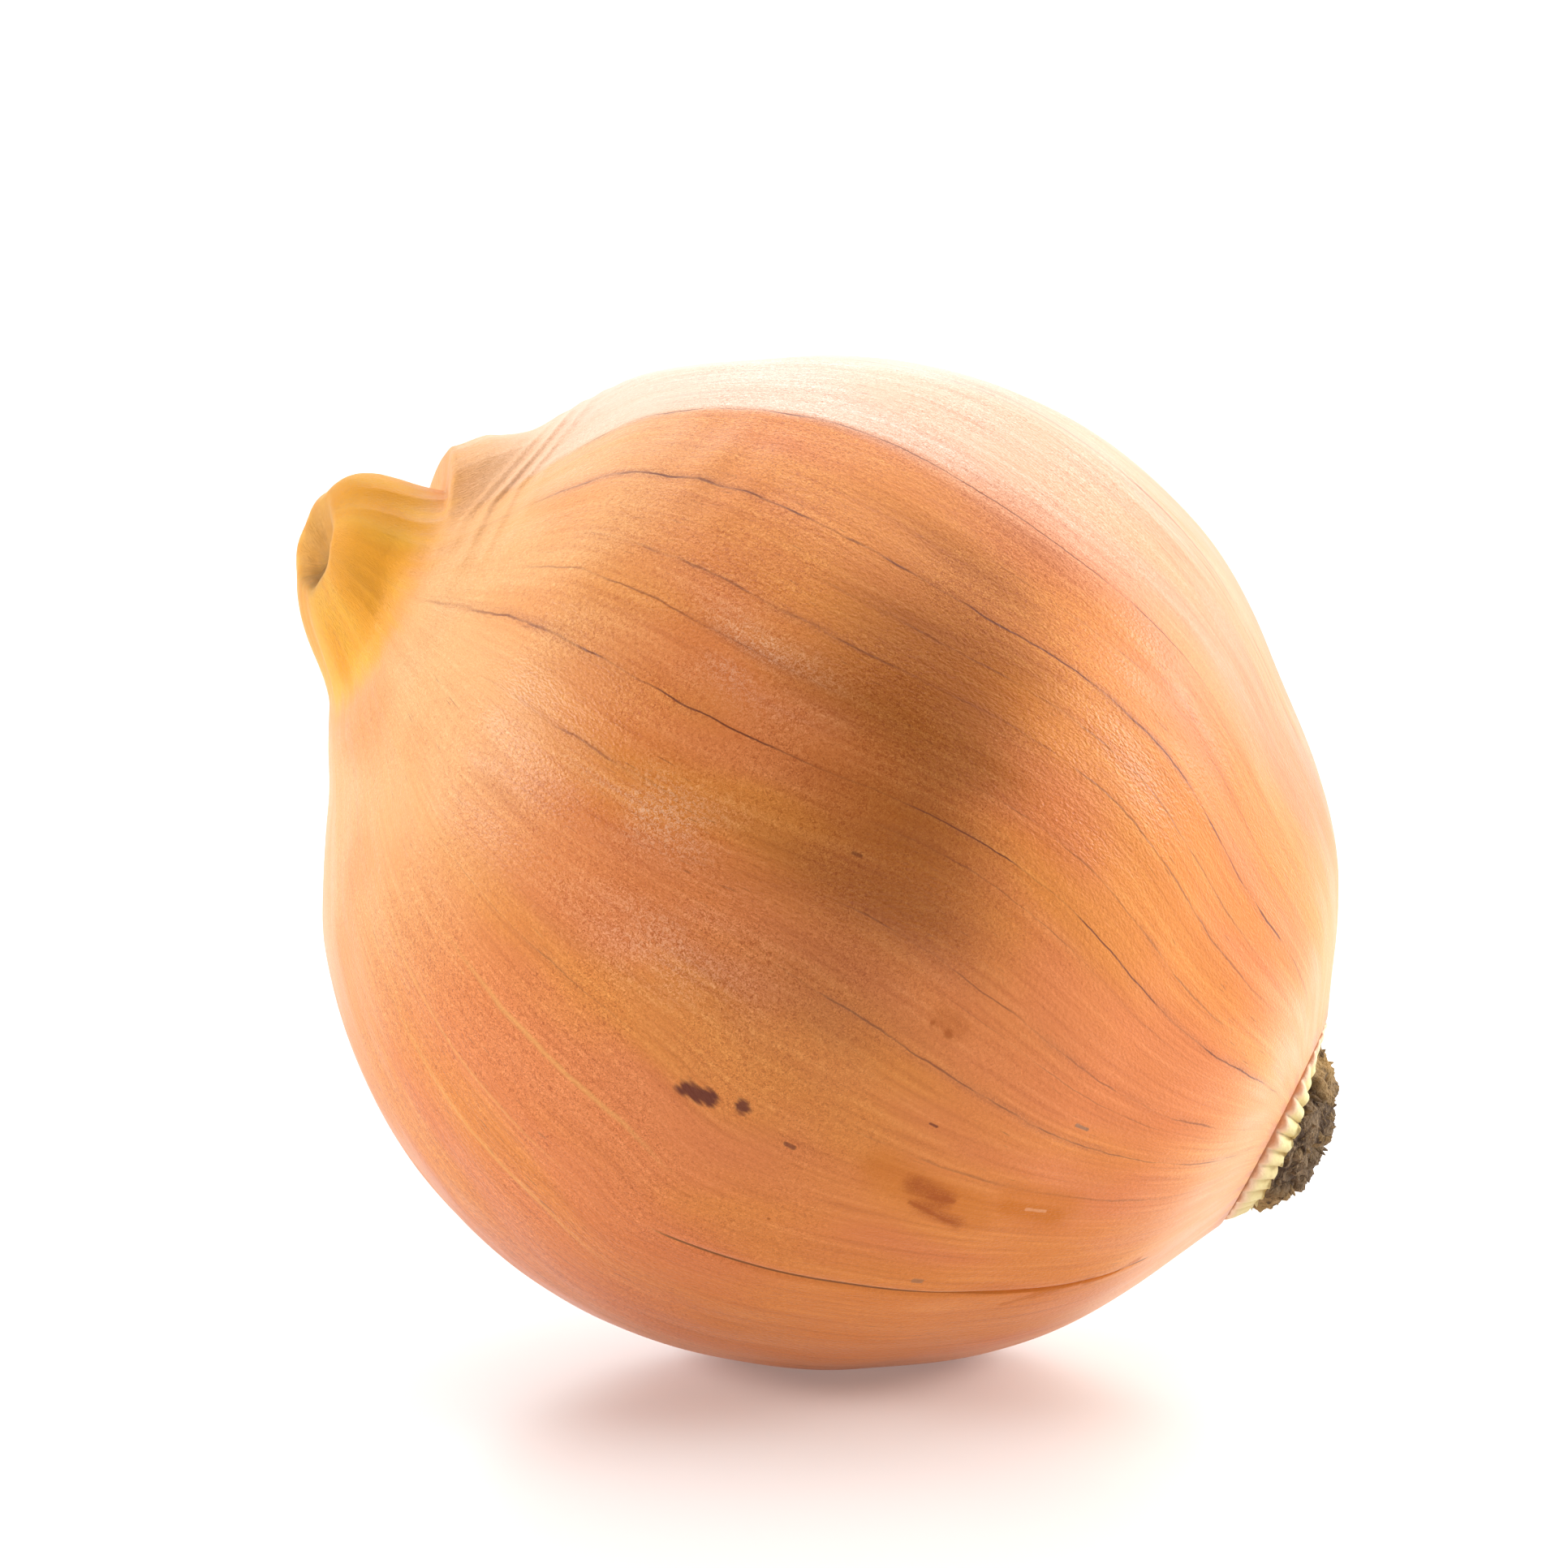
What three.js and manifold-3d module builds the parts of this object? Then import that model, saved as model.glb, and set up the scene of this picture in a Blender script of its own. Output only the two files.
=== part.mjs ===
// A brown onion lying on its side: the bulb in its papery skin, grown as one piece from
// the edge of the root plate to the withered neck, and the root plate itself, a disc with
// a ring of pale knobs and a dry crust of cut roots.
// Millimetres, +Z up. The origin is the middle of the flat spot that the bulb rests on.
// Both pieces are made upright, with +Z from the roots to the neck and zero at the
// middle of the round bulb, and one group lays them down. Upright, +X is the side that
// comes to lie on top and -Y is the front.

import * as THREE from "three";
import { mergeVertices } from "three/addons/utils/BufferGeometryUtils.js";
import Module from "manifold-3d";

const wasm = await Module();
wasm.setup();

const radians = THREE.MathUtils.degToRad;

// Driving dimensions of the bulb.
const BULB_RADIUS = 40; // round its widest ring
const BULB_HALF_HEIGHT = 39; // of the round part, along the axis
const GLOBE_FROM = -41.7; // turn in degrees from the widest ring to the arc's start
const GLOBE_TO = 52; // and to its end
const GLOBE_ROWS = 14;
const AXIS_RISE = radians(30.5); // of the neck end above the horizontal
const REST_DEPTH = 0.55; // of the flat spot, cut into the round underside
const GAP = 0.3; // between the bulb and the root plate

// The root end: a recess for the root plate, the skin's edge round it, and the way
// the foot of the bulb bulges on the underside and ends a little askew.
const SEAT_RADIUS = 8.8;
const SEAT_HEIGHT = -41.1;
const SKIN_EDGE = 9.6; // radius
const SKIN_EDGE_WIDTH = 0.4;
const SKIN_END = -42.4; // height
const FOOT_START = -12;
const FOOT_BULGE = 0.8;
const FOOT_RISE = new THREE.Vector2(0.06, -0.2); // slopes of the skin's edge along X and Y
const FOOT_SHARPNESS = 7; // power by which those slopes grow towards the edge

// The neck, which leans to the upper side and ends in a dented lip.
const NECK_START = 37;
const NECK_FULL = 43;
const NECK_LIP = 46.2;
const NECK_LEAN = 1.9;
const NECK_LEAN_START = 33;
const NECK_DEPTH = 0.8; // extent along Y as a share of that along X
const NECK_CREASES = [
  { count: 3, depth: 0.05, turn: 0.5 },
  { count: 7, depth: 0.04, turn: 0 },
];
const LIP_RISE = new THREE.Vector2(0.28, 0.4); // slopes of the lip along X and Y
const LIP_FROM = 41;
const LIP_TO = 45;

// Ribs: the stronger veins of the skin, from the split once round to it, in degrees.
// Each panel between two of them is a little flat, most of all beside the sharp rib,
// and gathered into a pleat where the shoulder runs into the neck.
const RIBS = [
  -133, -116, -99, -90, -77, -63, -52, -37, -17, 2, 21, 40, 61, 77, 94, 115, 133, 152, 174, 197,
  227,
];
const PANEL_COLUMNS = 5;
const RIB_DRIFT = 0.03; // radians, sideways along a rib
const RIB_DRIFT_LENGTH = 8;
const RIB_FADE = 4; // over which the ribs fade in from the skin's edge
const TWIST = radians(18); // by which ribs lean sideways from the root end to the shoulder
const TWIST_MIDDLE = radians(-85); // rib that stays upright between those that lean
const TWIST_RADIUS = 12; // least radius at which the lean still grows
const PANEL_FLATNESS = 0.3; // share of the arc's own rise taken off the middle
const SHARP_RIB = radians(-37);
const SHARP_REACH = radians(26);
const SHARP_FLATNESS = 0.5; // added to the flatness beside the sharp rib
const PLEAT_DEPTH = 0.35;
const PLEATS_FROM = 32;
const PLEATS_FULL = 37;

// The fold of skin that stands up round the upper side of the neck's foot.
const FOLD_MIDDLE = radians(4);
const FOLD_REACH = radians(66);
const FOLD_SHARPNESS = 3.2; // power by which it falls off from its middle
const FOLD_START = 22;
const FOLD_TOP = 39.35; // its end wall is square to the axis here
const FOLD_OUT = 4.4;
const FOLD_ROUNDING = 1.6; // off its outer corner, in height and out
const FOLD_FORWARD = 1.5; // by which its end leans over the notch
const FOLD_LEAN_LENGTH = 4;

// The split in the skin, along one rib, low on the front: a hairline from its start,
// open towards the root, with one lip lifted over the other.
const SPLIT_ANGLE = radians(-133);
const SPLIT_FROM = 3;
const SPLIT_END = -36;
const SPLIT_CLOSING = 4;
const SPLIT_OPEN_FROM = -14;
const SPLIT_OPEN_FULL = -30;
const SPLIT_HAIRLINE = 0.35; // share of its full depth
const SPLIT_DEPTH = 0.7;
const SPLIT_HALF_WIDTH = 0.55;
const SPLIT_LIFT = 0.25;

// Root plate: knobs in a ring, and inside it the crust with its lumps and cut roots.
const PLATE_RADIUS = SEAT_RADIUS - GAP;
const KNOBS = 36;
const KNOB_COLUMNS = 4;
const KNOB_RISE = 0.7;
const KNOB_MEAN = 0.3; // taken off the ring, so that its mean radius stays
const CRUST_RADIUS = 7.2;
const CRUST_START = -44.1;
const CRUST_END = -46.8;
const CRUST_TILT = 0.08; // slope along X, by which the crust is thicker on the underside
const CRUST_TILT_START = -42.8;
const RIM_NARROWING = 0.3; // by which the ring is drawn in above and below
const RIM_RISE = 0.8; // by which it comes nearer to the skin there
const RIM_SMOOTHNESS = 0.6; // share of the knobs' rise that they lose there
const CRUST_ROWS = 6;
const CRUST_ROUNDNESS = 1.4;
const CRUST_LUMPS = [
  { count: 5, height: 0.3, twist: 1 },
  { count: 9, height: 0.2, twist: -1.7 },
];
const STUBS = 36;
const STUB_SIDES = 5;
const STUB_LENGTH = 1.3;
const STUB_RADIUS = 0.7;
const STUB_SPREAD = 0.95; // share of the crust's radius that they reach
const GOLDEN_ANGLE = Math.PI * (3 - Math.sqrt(5));

const SKIN = new THREE.MeshStandardMaterial({ color: 0xd98a52, roughness: 0.42 });
const ROOT = new THREE.MeshStandardMaterial({ color: 0x9a8153, roughness: 0.9 });

const WELD = 0.02; // corners nearer than this after a cut or a join become one

// 0 below a, 1 above b, smooth between.
const ramp = (a, b, x) => THREE.MathUtils.smoothstep(x, a, b);

// A number from 0 to 1 that looks random and is always the same for one seed.
const chance = (seed) => THREE.MathUtils.euclideanModulo(Math.sin(seed * 127.1 + 4.1) * 43758.5, 1);

// A closed surface round +Z. The outline runs from the axis, out and back to the axis,
// and place(point, column) puts each of its points at each column of the surface.
function roundGeometry(outline, columns, place) {
  const [start, ...rows] = outline.map(([radius, height]) => ({ radius, height }));
  const end = rows.pop();
  const count = columns.length;
  const points = rows.flatMap((row) => columns.map((column) => place(row, column)));
  for (const tip of [start, end]) {
    const middle = new THREE.Vector3();
    for (const column of columns) middle.add(place(tip, column));
    points.push(middle.divideScalar(count));
  }
  const index = [];
  const lastRow = (rows.length - 1) * count;
  const [startTip, endTip] = [rows.length * count, rows.length * count + 1];
  for (let i = 0; i < count; i++) {
    const next = (i + 1) % count;
    for (let row = 0; row < lastRow; row += count)
      index.push(row + i, row + next, row + next + count, row + i, row + next + count, row + i + count);
    index.push(startTip, next, i, endTip, lastRow + i, lastRow + next);
  }
  return new THREE.BufferGeometry().setFromPoints(points).setIndex(index);
}

// A solid for manifold-3d from a closed geometry.
function solidOf(geometry) {
  const bare = new THREE.BufferGeometry();
  bare.setAttribute("position", geometry.getAttribute("position"));
  bare.setIndex(geometry.index);
  const merged = mergeVertices(bare);
  return new wasm.Manifold(
    new wasm.Mesh({
      numProp: 3,
      vertProperties: merged.getAttribute("position").array,
      triVerts: new Uint32Array(merged.index.array),
    }),
  );
}

// The geometry of a solid, with its tiny edges closed up.
function geometryOf(solid) {
  const mesh = solid.getMesh();
  const loose = new THREE.BufferGeometry();
  loose.setAttribute("position", new THREE.BufferAttribute(mesh.vertProperties, 3));
  loose.setIndex(new THREE.BufferAttribute(mesh.triVerts, 1));
  const welded = mergeVertices(loose, WELD);
  const corners = Array.from(welded.index.array);
  const index = [];
  for (let i = 0; i < corners.length; i += 3) {
    const [a, b, c] = corners.slice(i, i + 3);
    if (a !== b && b !== c && c !== a) index.push(a, b, c);
  }
  welded.setIndex(index);
  welded.computeVertexNormals();
  return welded;
}

// --- The bulb ---------------------------------------------------------------

// Half of the bulb's outline as [radius, height]: the recess for the root plate, the skin
// from its edge there over the round of the bulb to the neck's lip, and the lip's dent.
function bulbOutline() {
  const arc = new THREE.EllipseCurve(
    0, 0, BULB_RADIUS, BULB_HALF_HEIGHT, radians(GLOBE_FROM), radians(GLOBE_TO),
  );
  return [
    [0, SEAT_HEIGHT],
    [SEAT_RADIUS / 2, SEAT_HEIGHT],
    [SEAT_RADIUS, SEAT_HEIGHT],
    [SKIN_EDGE - SKIN_EDGE_WIDTH, SKIN_END],
    [SKIN_EDGE, SKIN_END],
    [13.1, -40.6],
    [17.9, -37.9],
    [23.2, -34.1],
    [27.1, -30.1],
    ...arc.getPoints(GLOBE_ROWS).map((p) => [p.x, p.y]),
    [20.9, 32.9],
    [17.4, 34.7],
    [14.4, 36.2],
    [12.4, 37.5],
    [11.1, 38.5],
    [10.2, FOLD_TOP - 0.05],
    [9.9, FOLD_TOP + 0.15],
    [8.9, 40.7],
    [8.1, 42],
    [7.3, 43.3],
    [6.4, 44.4],
    [5.4, 45.3],
    [4.4, NECK_LIP - 0.3],
    [3.4, NECK_LIP],
    [2.6, NECK_LIP - 0.4],
    [1.6, NECK_LIP - 1.2],
    [0, NECK_LIP - 1.5],
  ];
}

// The turn between two angles, from 0 to half a turn.
function turnBetween(a, b) {
  const turns = (a - b) / (2 * Math.PI);
  return Math.abs(turns - Math.round(turns)) * 2 * Math.PI;
}

// The columns of the surface: a few to each panel, and a lip on both sides of the split.
function bulbColumns() {
  const columns = [];
  const lip = SPLIT_HALF_WIDTH / BULB_RADIUS;
  const ribs = RIBS.map(radians);
  for (let rib = 0; rib + 1 < ribs.length; rib++) {
    const panel = ribs[rib + 1] - ribs[rib];
    const off = turnBetween(ribs[rib] + panel / 2, SHARP_RIB);
    const flatness = PANEL_FLATNESS + SHARP_FLATNESS * (1 - ramp(0, SHARP_REACH, off));
    const depth = flatness * (1 - Math.cos(panel / 2));
    for (let i = 0; i < PANEL_COLUMNS; i++) {
      const across = i / PANEL_COLUMNS;
      const sunk = 4 * across * (1 - across);
      columns.push({ angle: ribs[rib] + panel * across, depth, sunk, split: 0, lift: 0 });
    }
  }
  columns[0].split = 1;
  columns.splice(1, 0, { ...columns[0], angle: SPLIT_ANGLE + lip, split: 0, lift: 1 });
  columns.push({ ...columns[0], angle: SPLIT_ANGLE + 2 * Math.PI - lip, split: 0 });
  return columns;
}

// The split's depth at a height, as a share of its full depth.
function splitShare(height) {
  const start = 1 - ramp(SPLIT_FROM - 2 * SPLIT_CLOSING, SPLIT_FROM, height);
  const end = ramp(SPLIT_END, SPLIT_END + SPLIT_CLOSING, height);
  const open = 1 - ramp(SPLIT_OPEN_FULL, SPLIT_OPEN_FROM, height);
  return start * end * THREE.MathUtils.lerp(SPLIT_HAIRLINE, 1, open);
}

// How far the fold stands out at an angle and a height, as a share of its middle.
function foldShare(angle, height) {
  const off = turnBetween(angle, FOLD_MIDDLE);
  if (off > FOLD_REACH || height > FOLD_TOP) return 0;
  return Math.cos((off / FOLD_REACH) * (Math.PI / 2)) ** FOLD_SHARPNESS;
}

// How far a rib has turned sideways at a height, on its way from the root end.
function ribTwist(angle, radius, height) {
  const fade = ramp(-44, -14, height) * (1 - ramp(30, 42, height));
  const side = Math.max(0, Math.sin(angle - TWIST_MIDDLE));
  return (TWIST * side * height * fade) / Math.max(radius, TWIST_RADIUS);
}

// Moves a point of the root end, which bulges below and ends a little askew.
function withFoot(p) {
  const share = Math.max(0, FOOT_START - p.z) / (FOOT_START - SKIN_END);
  p.z += (FOOT_RISE.x * p.x + FOOT_RISE.y * p.y) * Math.min(share, 1) ** FOOT_SHARPNESS;
  p.x -= FOOT_BULGE * Math.sin(Math.PI * share);
  return p;
}

function bulbPlace({ radius, height }, { angle, depth: panelDepth, sunk, split, lift }) {
  const onSkin = ramp(SKIN_EDGE, SKIN_EDGE + RIB_FADE, radius);
  const onNeck = ramp(NECK_START, NECK_FULL, height);
  const gathered = ramp(PLEATS_FROM, PLEATS_FULL, height) * (1 - ramp(NECK_FULL, NECK_LIP, height));
  const flattened = panelDepth * radius * onSkin;
  const fold = foldShare(angle, height);
  const foldOut = FOLD_OUT * ramp(FOLD_START, FOLD_TOP - 1, height)
    - FOLD_ROUNDING * ramp(FOLD_TOP - FOLD_ROUNDING, FOLD_TOP, height);
  const foldForward = FOLD_FORWARD * ramp(FOLD_TOP - FOLD_LEAN_LENGTH, FOLD_TOP, height);
  let out = radius - sunk * (flattened + PLEAT_DEPTH * gathered);
  out += (SPLIT_LIFT * lift - SPLIT_DEPTH * split) * splitShare(height) + foldOut * fold;
  for (const { count, depth, turn } of NECK_CREASES)
    out *= 1 + onNeck * depth * Math.cos(count * angle + turn);
  const drift = RIB_DRIFT * Math.sin(height / RIB_DRIFT_LENGTH + 3 * angle) * onSkin
    + ribTwist(angle, radius, height);
  const lean = Math.max(0, height - NECK_LEAN_START) / (NECK_LIP - NECK_LEAN_START);
  const x = out * Math.cos(angle + drift) + NECK_LEAN * lean ** 2;
  const y = out * Math.sin(angle + drift) * THREE.MathUtils.lerp(1, NECK_DEPTH, onNeck);
  const lipRise = (LIP_RISE.x * x + LIP_RISE.y * y) * ramp(LIP_FROM, LIP_TO, height);
  return withFoot(new THREE.Vector3(x, y, height + foldForward * fold + lipRise));
}

// How far the bulb reaches below its middle when it lies down.
function reachBelow(geometry, up) {
  const position = geometry.getAttribute("position");
  const corner = new THREE.Vector3();
  let reach = 0;
  for (let i = 0; i < position.count; i++)
    reach = Math.max(reach, -corner.fromBufferAttribute(position, i).dot(up));
  return reach;
}

const upWhenLying = new THREE.Vector3(Math.cos(AXIS_RISE), 0, Math.sin(AXIS_RISE));
const bulbSurface = roundGeometry(bulbOutline(), bulbColumns(), bulbPlace);
const restHeight = reachBelow(bulbSurface, upWhenLying) - REST_DEPTH;

const bulbGeometry = () =>
  geometryOf(solidOf(bulbSurface).trimByPlane(upWhenLying.toArray(), -restHeight));

// --- Root plate -------------------------------------------------------------

// Half of the plate's outline: the low dome of the crust, the ring of knobs, proud of
// the skin's edge, and the flat disc in the bulb's recess.
function plateOutline() {
  const dome = [];
  for (let i = CRUST_ROWS; i >= 0; i--) {
    const turn = (i / CRUST_ROWS) * (Math.PI / 2);
    const radius = i === CRUST_ROWS ? 0 : CRUST_RADIUS * Math.cos(turn);
    dome.push([radius, domeHeight(Math.sin(turn))]);
  }
  return [
    ...dome,
    [CRUST_RADIUS + 0.4, CRUST_START],
    [CRUST_RADIUS + 1, CRUST_START + 0.5],
    [PLATE_RADIUS + 0.2, SKIN_END - 0.8],
    [PLATE_RADIUS + 0.45, SKIN_END - 0.4],
    [PLATE_RADIUS, SKIN_END],
    [PLATE_RADIUS, SEAT_HEIGHT - GAP],
    [PLATE_RADIUS / 2, SEAT_HEIGHT - GAP],
    [0, SEAT_HEIGHT - GAP],
  ];
}

// How far the ring is drawn in: most above and below, not at all in front.
function rimShare(angle, radius, height) {
  const deep = THREE.MathUtils.clamp((SKIN_END - height) / (SKIN_END - CRUST_START), 0, 1);
  return Math.cos(angle) ** 2 * deep * Math.min(radius / CRUST_RADIUS, 1) ** 3;
}

// Height of the crust's dome, from its rim at share 0 to its middle at share 1.
const domeHeight = (share) =>
  THREE.MathUtils.lerp(CRUST_START, CRUST_END, share ** CRUST_ROUNDNESS);

function plateColumns() {
  const count = KNOBS * KNOB_COLUMNS;
  return Array.from({ length: count }, (_, i) => {
    const across = (i % KNOB_COLUMNS) / KNOB_COLUMNS;
    const size = 1 - 0.5 * chance(Math.floor(i / KNOB_COLUMNS));
    return { angle: (2 * Math.PI * i) / count, knob: size * Math.sin(Math.PI * across) };
  });
}

function platePlace({ radius, height }, { angle, knob }) {
  const inCrust = height < CRUST_START ? ramp(0, CRUST_RADIUS / 3, radius) : 0;
  const onKnobs = ramp(CRUST_RADIUS, CRUST_RADIUS + 0.4, radius)
    * (1 - ramp(SKIN_END - 0.6, SKIN_END - 0.1, height));
  const tilt = CRUST_TILT * (1 - ramp(CRUST_START, CRUST_TILT_START, height));
  let lump = 0;
  for (const { count, height: rise, twist } of CRUST_LUMPS)
    lump += rise * Math.sin(count * angle + twist * radius) * inCrust;
  const rim = rimShare(angle, radius, height);
  const rise = KNOB_RISE * knob * (1 - RIM_SMOOTHNESS * Math.cos(angle) ** 2);
  const out = radius + onKnobs * (rise - KNOB_MEAN) + lump / 2 - RIM_NARROWING * rim;
  const down = (onKnobs * rise) / 2 - RIM_RISE * rim;
  const [x, y] = [out * Math.cos(angle), out * Math.sin(angle)];
  return withFoot(new THREE.Vector3(x, y, height - down + lump + tilt * x));
}

// A cut root: a short peg with few sides, sunk in the crust, that leans outwards.
function stubGeometry(number) {
  const share = (number + 0.5) / STUBS;
  const angle = number * GOLDEN_ANGLE + 0.6 * chance(number);
  const radius = CRUST_RADIUS * STUB_SPREAD * Math.sqrt(share);
  const outward = 0.15 + 0.9 * share;
  const stray = () => 0.6 * (chance(number + STUBS) - 0.5);
  const direction = new THREE.Vector3(
    Math.cos(angle) * outward + stray(), Math.sin(angle) * outward - stray(), -1,
  );
  const width = STUB_RADIUS * (0.8 + 0.5 * chance(number + 2 * STUBS));
  const length = STUB_LENGTH * (0.8 + 0.4 * chance(number + 3 * STUBS));
  const geometry = new THREE.CylinderGeometry(width * 0.75, width, length, STUB_SIDES);
  geometry.applyQuaternion(
    new THREE.Quaternion().setFromUnitVectors(new THREE.Vector3(0, 1, 0), direction.normalize()),
  );
  const height = domeHeight(Math.sqrt(1 - share * STUB_SPREAD));
  const rim = rimShare(angle, radius, height);
  const reach = radius - RIM_NARROWING * rim;
  const [x, y] = [reach * Math.cos(angle), reach * Math.sin(angle)];
  const foot = withFoot(new THREE.Vector3(x, y, height + RIM_RISE * rim + CRUST_TILT * x));
  return geometry.translate(foot.x, foot.y, foot.z);
}

function rootPlateGeometry() {
  let plate = solidOf(roundGeometry(plateOutline(), plateColumns(), platePlace));
  for (let number = 0; number < STUBS; number++)
    plate = plate.add(solidOf(stubGeometry(number)));
  return geometryOf(plate);
}

// --- Assembly ---------------------------------------------------------------

function piece(name, geometry, material) {
  const mesh = new THREE.Mesh(geometry, material);
  mesh.name = name;
  return mesh;
}

const onion = new THREE.Group();
onion.add(piece("bulb", bulbGeometry(), SKIN));
onion.add(piece("root_plate", rootPlateGeometry(), ROOT));
onion.rotation.y = AXIS_RISE - Math.PI / 2;
onion.position.z = restHeight;

export default onion;
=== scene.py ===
"""A brown onion lying on its side, dressed for its looks.

Metres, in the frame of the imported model: +Z up, the origin in the flat spot it rests on.
The skin and the root plate are made upright in millimetres from the part's own formulas,
+Z from the roots to the neck, +X the side that comes to lie on top, and then laid down.
"""

import math
import random

import bpy
import numpy as np
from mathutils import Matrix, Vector, noise


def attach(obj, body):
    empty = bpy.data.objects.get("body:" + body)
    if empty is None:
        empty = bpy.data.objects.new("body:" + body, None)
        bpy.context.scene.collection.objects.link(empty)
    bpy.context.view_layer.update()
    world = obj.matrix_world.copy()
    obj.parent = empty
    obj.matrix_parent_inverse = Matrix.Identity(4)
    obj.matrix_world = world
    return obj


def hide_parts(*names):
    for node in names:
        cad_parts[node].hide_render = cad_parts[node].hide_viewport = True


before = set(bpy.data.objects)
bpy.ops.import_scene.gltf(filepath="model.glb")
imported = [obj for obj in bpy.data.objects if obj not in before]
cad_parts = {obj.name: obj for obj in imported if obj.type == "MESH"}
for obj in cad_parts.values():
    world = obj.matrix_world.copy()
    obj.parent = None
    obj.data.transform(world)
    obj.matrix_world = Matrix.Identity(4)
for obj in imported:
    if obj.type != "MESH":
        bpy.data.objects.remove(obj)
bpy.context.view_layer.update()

MM = 0.001
TURN = 2 * math.pi

# --- The bulb's driving dimensions, in millimetres and radians, close to the part's own ---
BULB_RADIUS = 40  # round its widest ring
BULB_HALF_HEIGHT = 39  # of the round part, along the axis
GLOBE_FROM = math.radians(-36)  # turn from the widest ring to the arc's start
GLOBE_TO = math.radians(52)  # and to its end
GLOBE_ROWS = 14
AXIS_RISE = math.radians(30.5)  # of the neck end above the horizontal
REST_DEPTH = 0.55  # of the flat spot, cut into the round underside
GAP = 0.3  # between the bulb and the root plate

# The skin's lower edge, round the recess that the root plate sits in.
SEAT_RADIUS = 8.8
SEAT_HEIGHT = -41.1
SKIN_EDGE = 9.6  # radius
SKIN_EDGE_WIDTH = 0.4
SKIN_END = -42.4  # height
FOOT_START = -12
FOOT_BULGE = 0.8
FOOT_ROUNDNESS = 1.6  # power that keeps the bulge to its middle
FOOT_RISE = (0.06, -0.2)  # slopes of the skin's edge along X and Y
FOOT_SHARPNESS = 7  # power by which those slopes grow towards the edge

NECK_START = 37
NECK_FULL = 43
NECK_LIP = 46.2
NECK_LEAN = 1.9
NECK_LEAN_START = 33
NECK_DEPTH = 0.8  # extent along Y as a share of that along X
NECK_CREASES = [(3, 0.05, 0.5), (7, 0.04, 0.0)]  # number round, depth as a share, turn
LIP_RISE = (0.28, 0.4)  # slopes of the lip along X and Y
LIP_FROM = 37.5
LIP_TO = 45

# Ribs run from root to neck; the skin between two of them is a flatter panel.
RIBS = (
    -133, -116, -99, -90, -77, -63, -52, -37, -17, 2, 21, 40, 61, 77, 94, 115, 133, 152, 174, 197,
    227,
)
RIB_DRIFT = 0.03  # radians, sideways along a rib
RIB_DRIFT_LENGTH = 8
RIB_FADE = 4  # over which the ribs fade in from the skin's edge
TWIST = math.radians(18)  # by which ribs lean sideways from the root end to the shoulder
TWIST_FROM = math.radians(-85)  # the lean begins here and is full a quarter turn further on
TWIST_RADIUS = 12  # inside this radius the lean grows no more
TWIST_BEGINS = (-44, -14)
TWIST_ENDS = (30, 42)
PANEL_FLATNESS = 0.12  # share of the arc's own rise taken off the middle
SHARP_RIB = math.radians(-37)
SHARP_REACH = math.radians(26)
SHARP_FLATNESS = 0.5  # added to the flatness beside the sharp rib
PLEAT_DEPTH = 0.14
PLEATS_FROM = 32
PLEATS_FULL = 37

# The raised fold of skin beside the neck.
FOLD_MIDDLE = math.radians(4)
FOLD_REACH = math.radians(66)
FOLD_SHARPNESS = 3.2  # power by which it falls off from its middle
FOLD_FOOT = 0.15  # share of its height cut off round its foot
FOLD_START = 22
FOLD_TOP = 39.35  # its end wall is square to the axis here
FOLD_OUT = 4.4
FOLD_ROUNDING = 1.6  # off its outer corner, in height and out
FOLD_FORWARD = 1.5  # by which its end leans over the notch
FOLD_LEAN_LENGTH = 4

# The split in the skin: a hairline that opens towards the root end.
SPLIT_ANGLE = math.radians(-133)
SPLIT_FROM = 3
SPLIT_END = -36
SPLIT_CLOSING = 4
SPLIT_OPEN_FROM = -14
SPLIT_OPEN_FULL = -30
SPLIT_HAIRLINE = 0.35  # share of its full depth
SPLIT_DEPTH = 0.45
SPLIT_FLOOR = 0.1  # half width of its flat bottom
SPLIT_HALF_WIDTH = 0.55
SPLIT_LIFT = 0.25  # of its upper lip
SPLIT_LIFT_FADE = (1, 5)
SPLIT_SWAY = math.radians(0.26)  # lean for each millimetre along
SPLIT_SWAY_MIDDLE = -6
SPLIT_SWAY_REACH = math.radians(42)
SPLIT_SWAY_BEGINS = (-44, -38)
SPLIT_SWAY_ENDS = (9, 1)

PLATE_RADIUS = SEAT_RADIUS - GAP
KNOBS = 36
KNOB_RISE = 0.7
KNOB_MEAN = 0.3  # by which the whole ring is drawn in, so that the knobs end at its edge
KNOB_SHARPNESS = 2.2
KNOB_UNEVENNESS = 0.5
CRUST_RADIUS = 7.2
CRUST_START = -44.1
CRUST_END = -46.8
CRUST_TILT = 0.08  # slope along X
CRUST_TILT_START = -42.8
CRUST_ROUNDNESS = 1.4
CRUST_LUMPS = [(5, 0.3, 1.0), (9, 0.2, -1.7)]  # number round, rise, turn for each millimetre
CRUST_SIZES = [(2.8, 0.4), (1.3, 0.22), (0.6, 0.08)]  # ridges' size and rise
CRUST_SINK = 0.1
RIM_NARROWING = 0.3
RIM_RISE = 0.8
RIM_SMOOTHNESS = 0.6
RIM_BAND = (3.5, 6.5)  # distance from the middle along X where the flaky rim begins
STUBS = 36
STUB_LENGTH = 1.3
STUB_RADIUS = 0.7
STUB_SPREAD = 0.95
STUB_LEAN = (0.15, 0.9)  # outwards, in the middle and by how much more at the rim
STUB_STRAY = 0.6
STUB_BEND = 0.5
STUB_TAPER = 0.94
STUB_RAGGEDNESS = 0.3
ROOTLETS = 60
ROOTLET_RADIUS = 0.2
ROOTLET_LENGTH = 0.8
GOLDEN_ANGLE = math.pi * (3 - math.sqrt(5))

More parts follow.
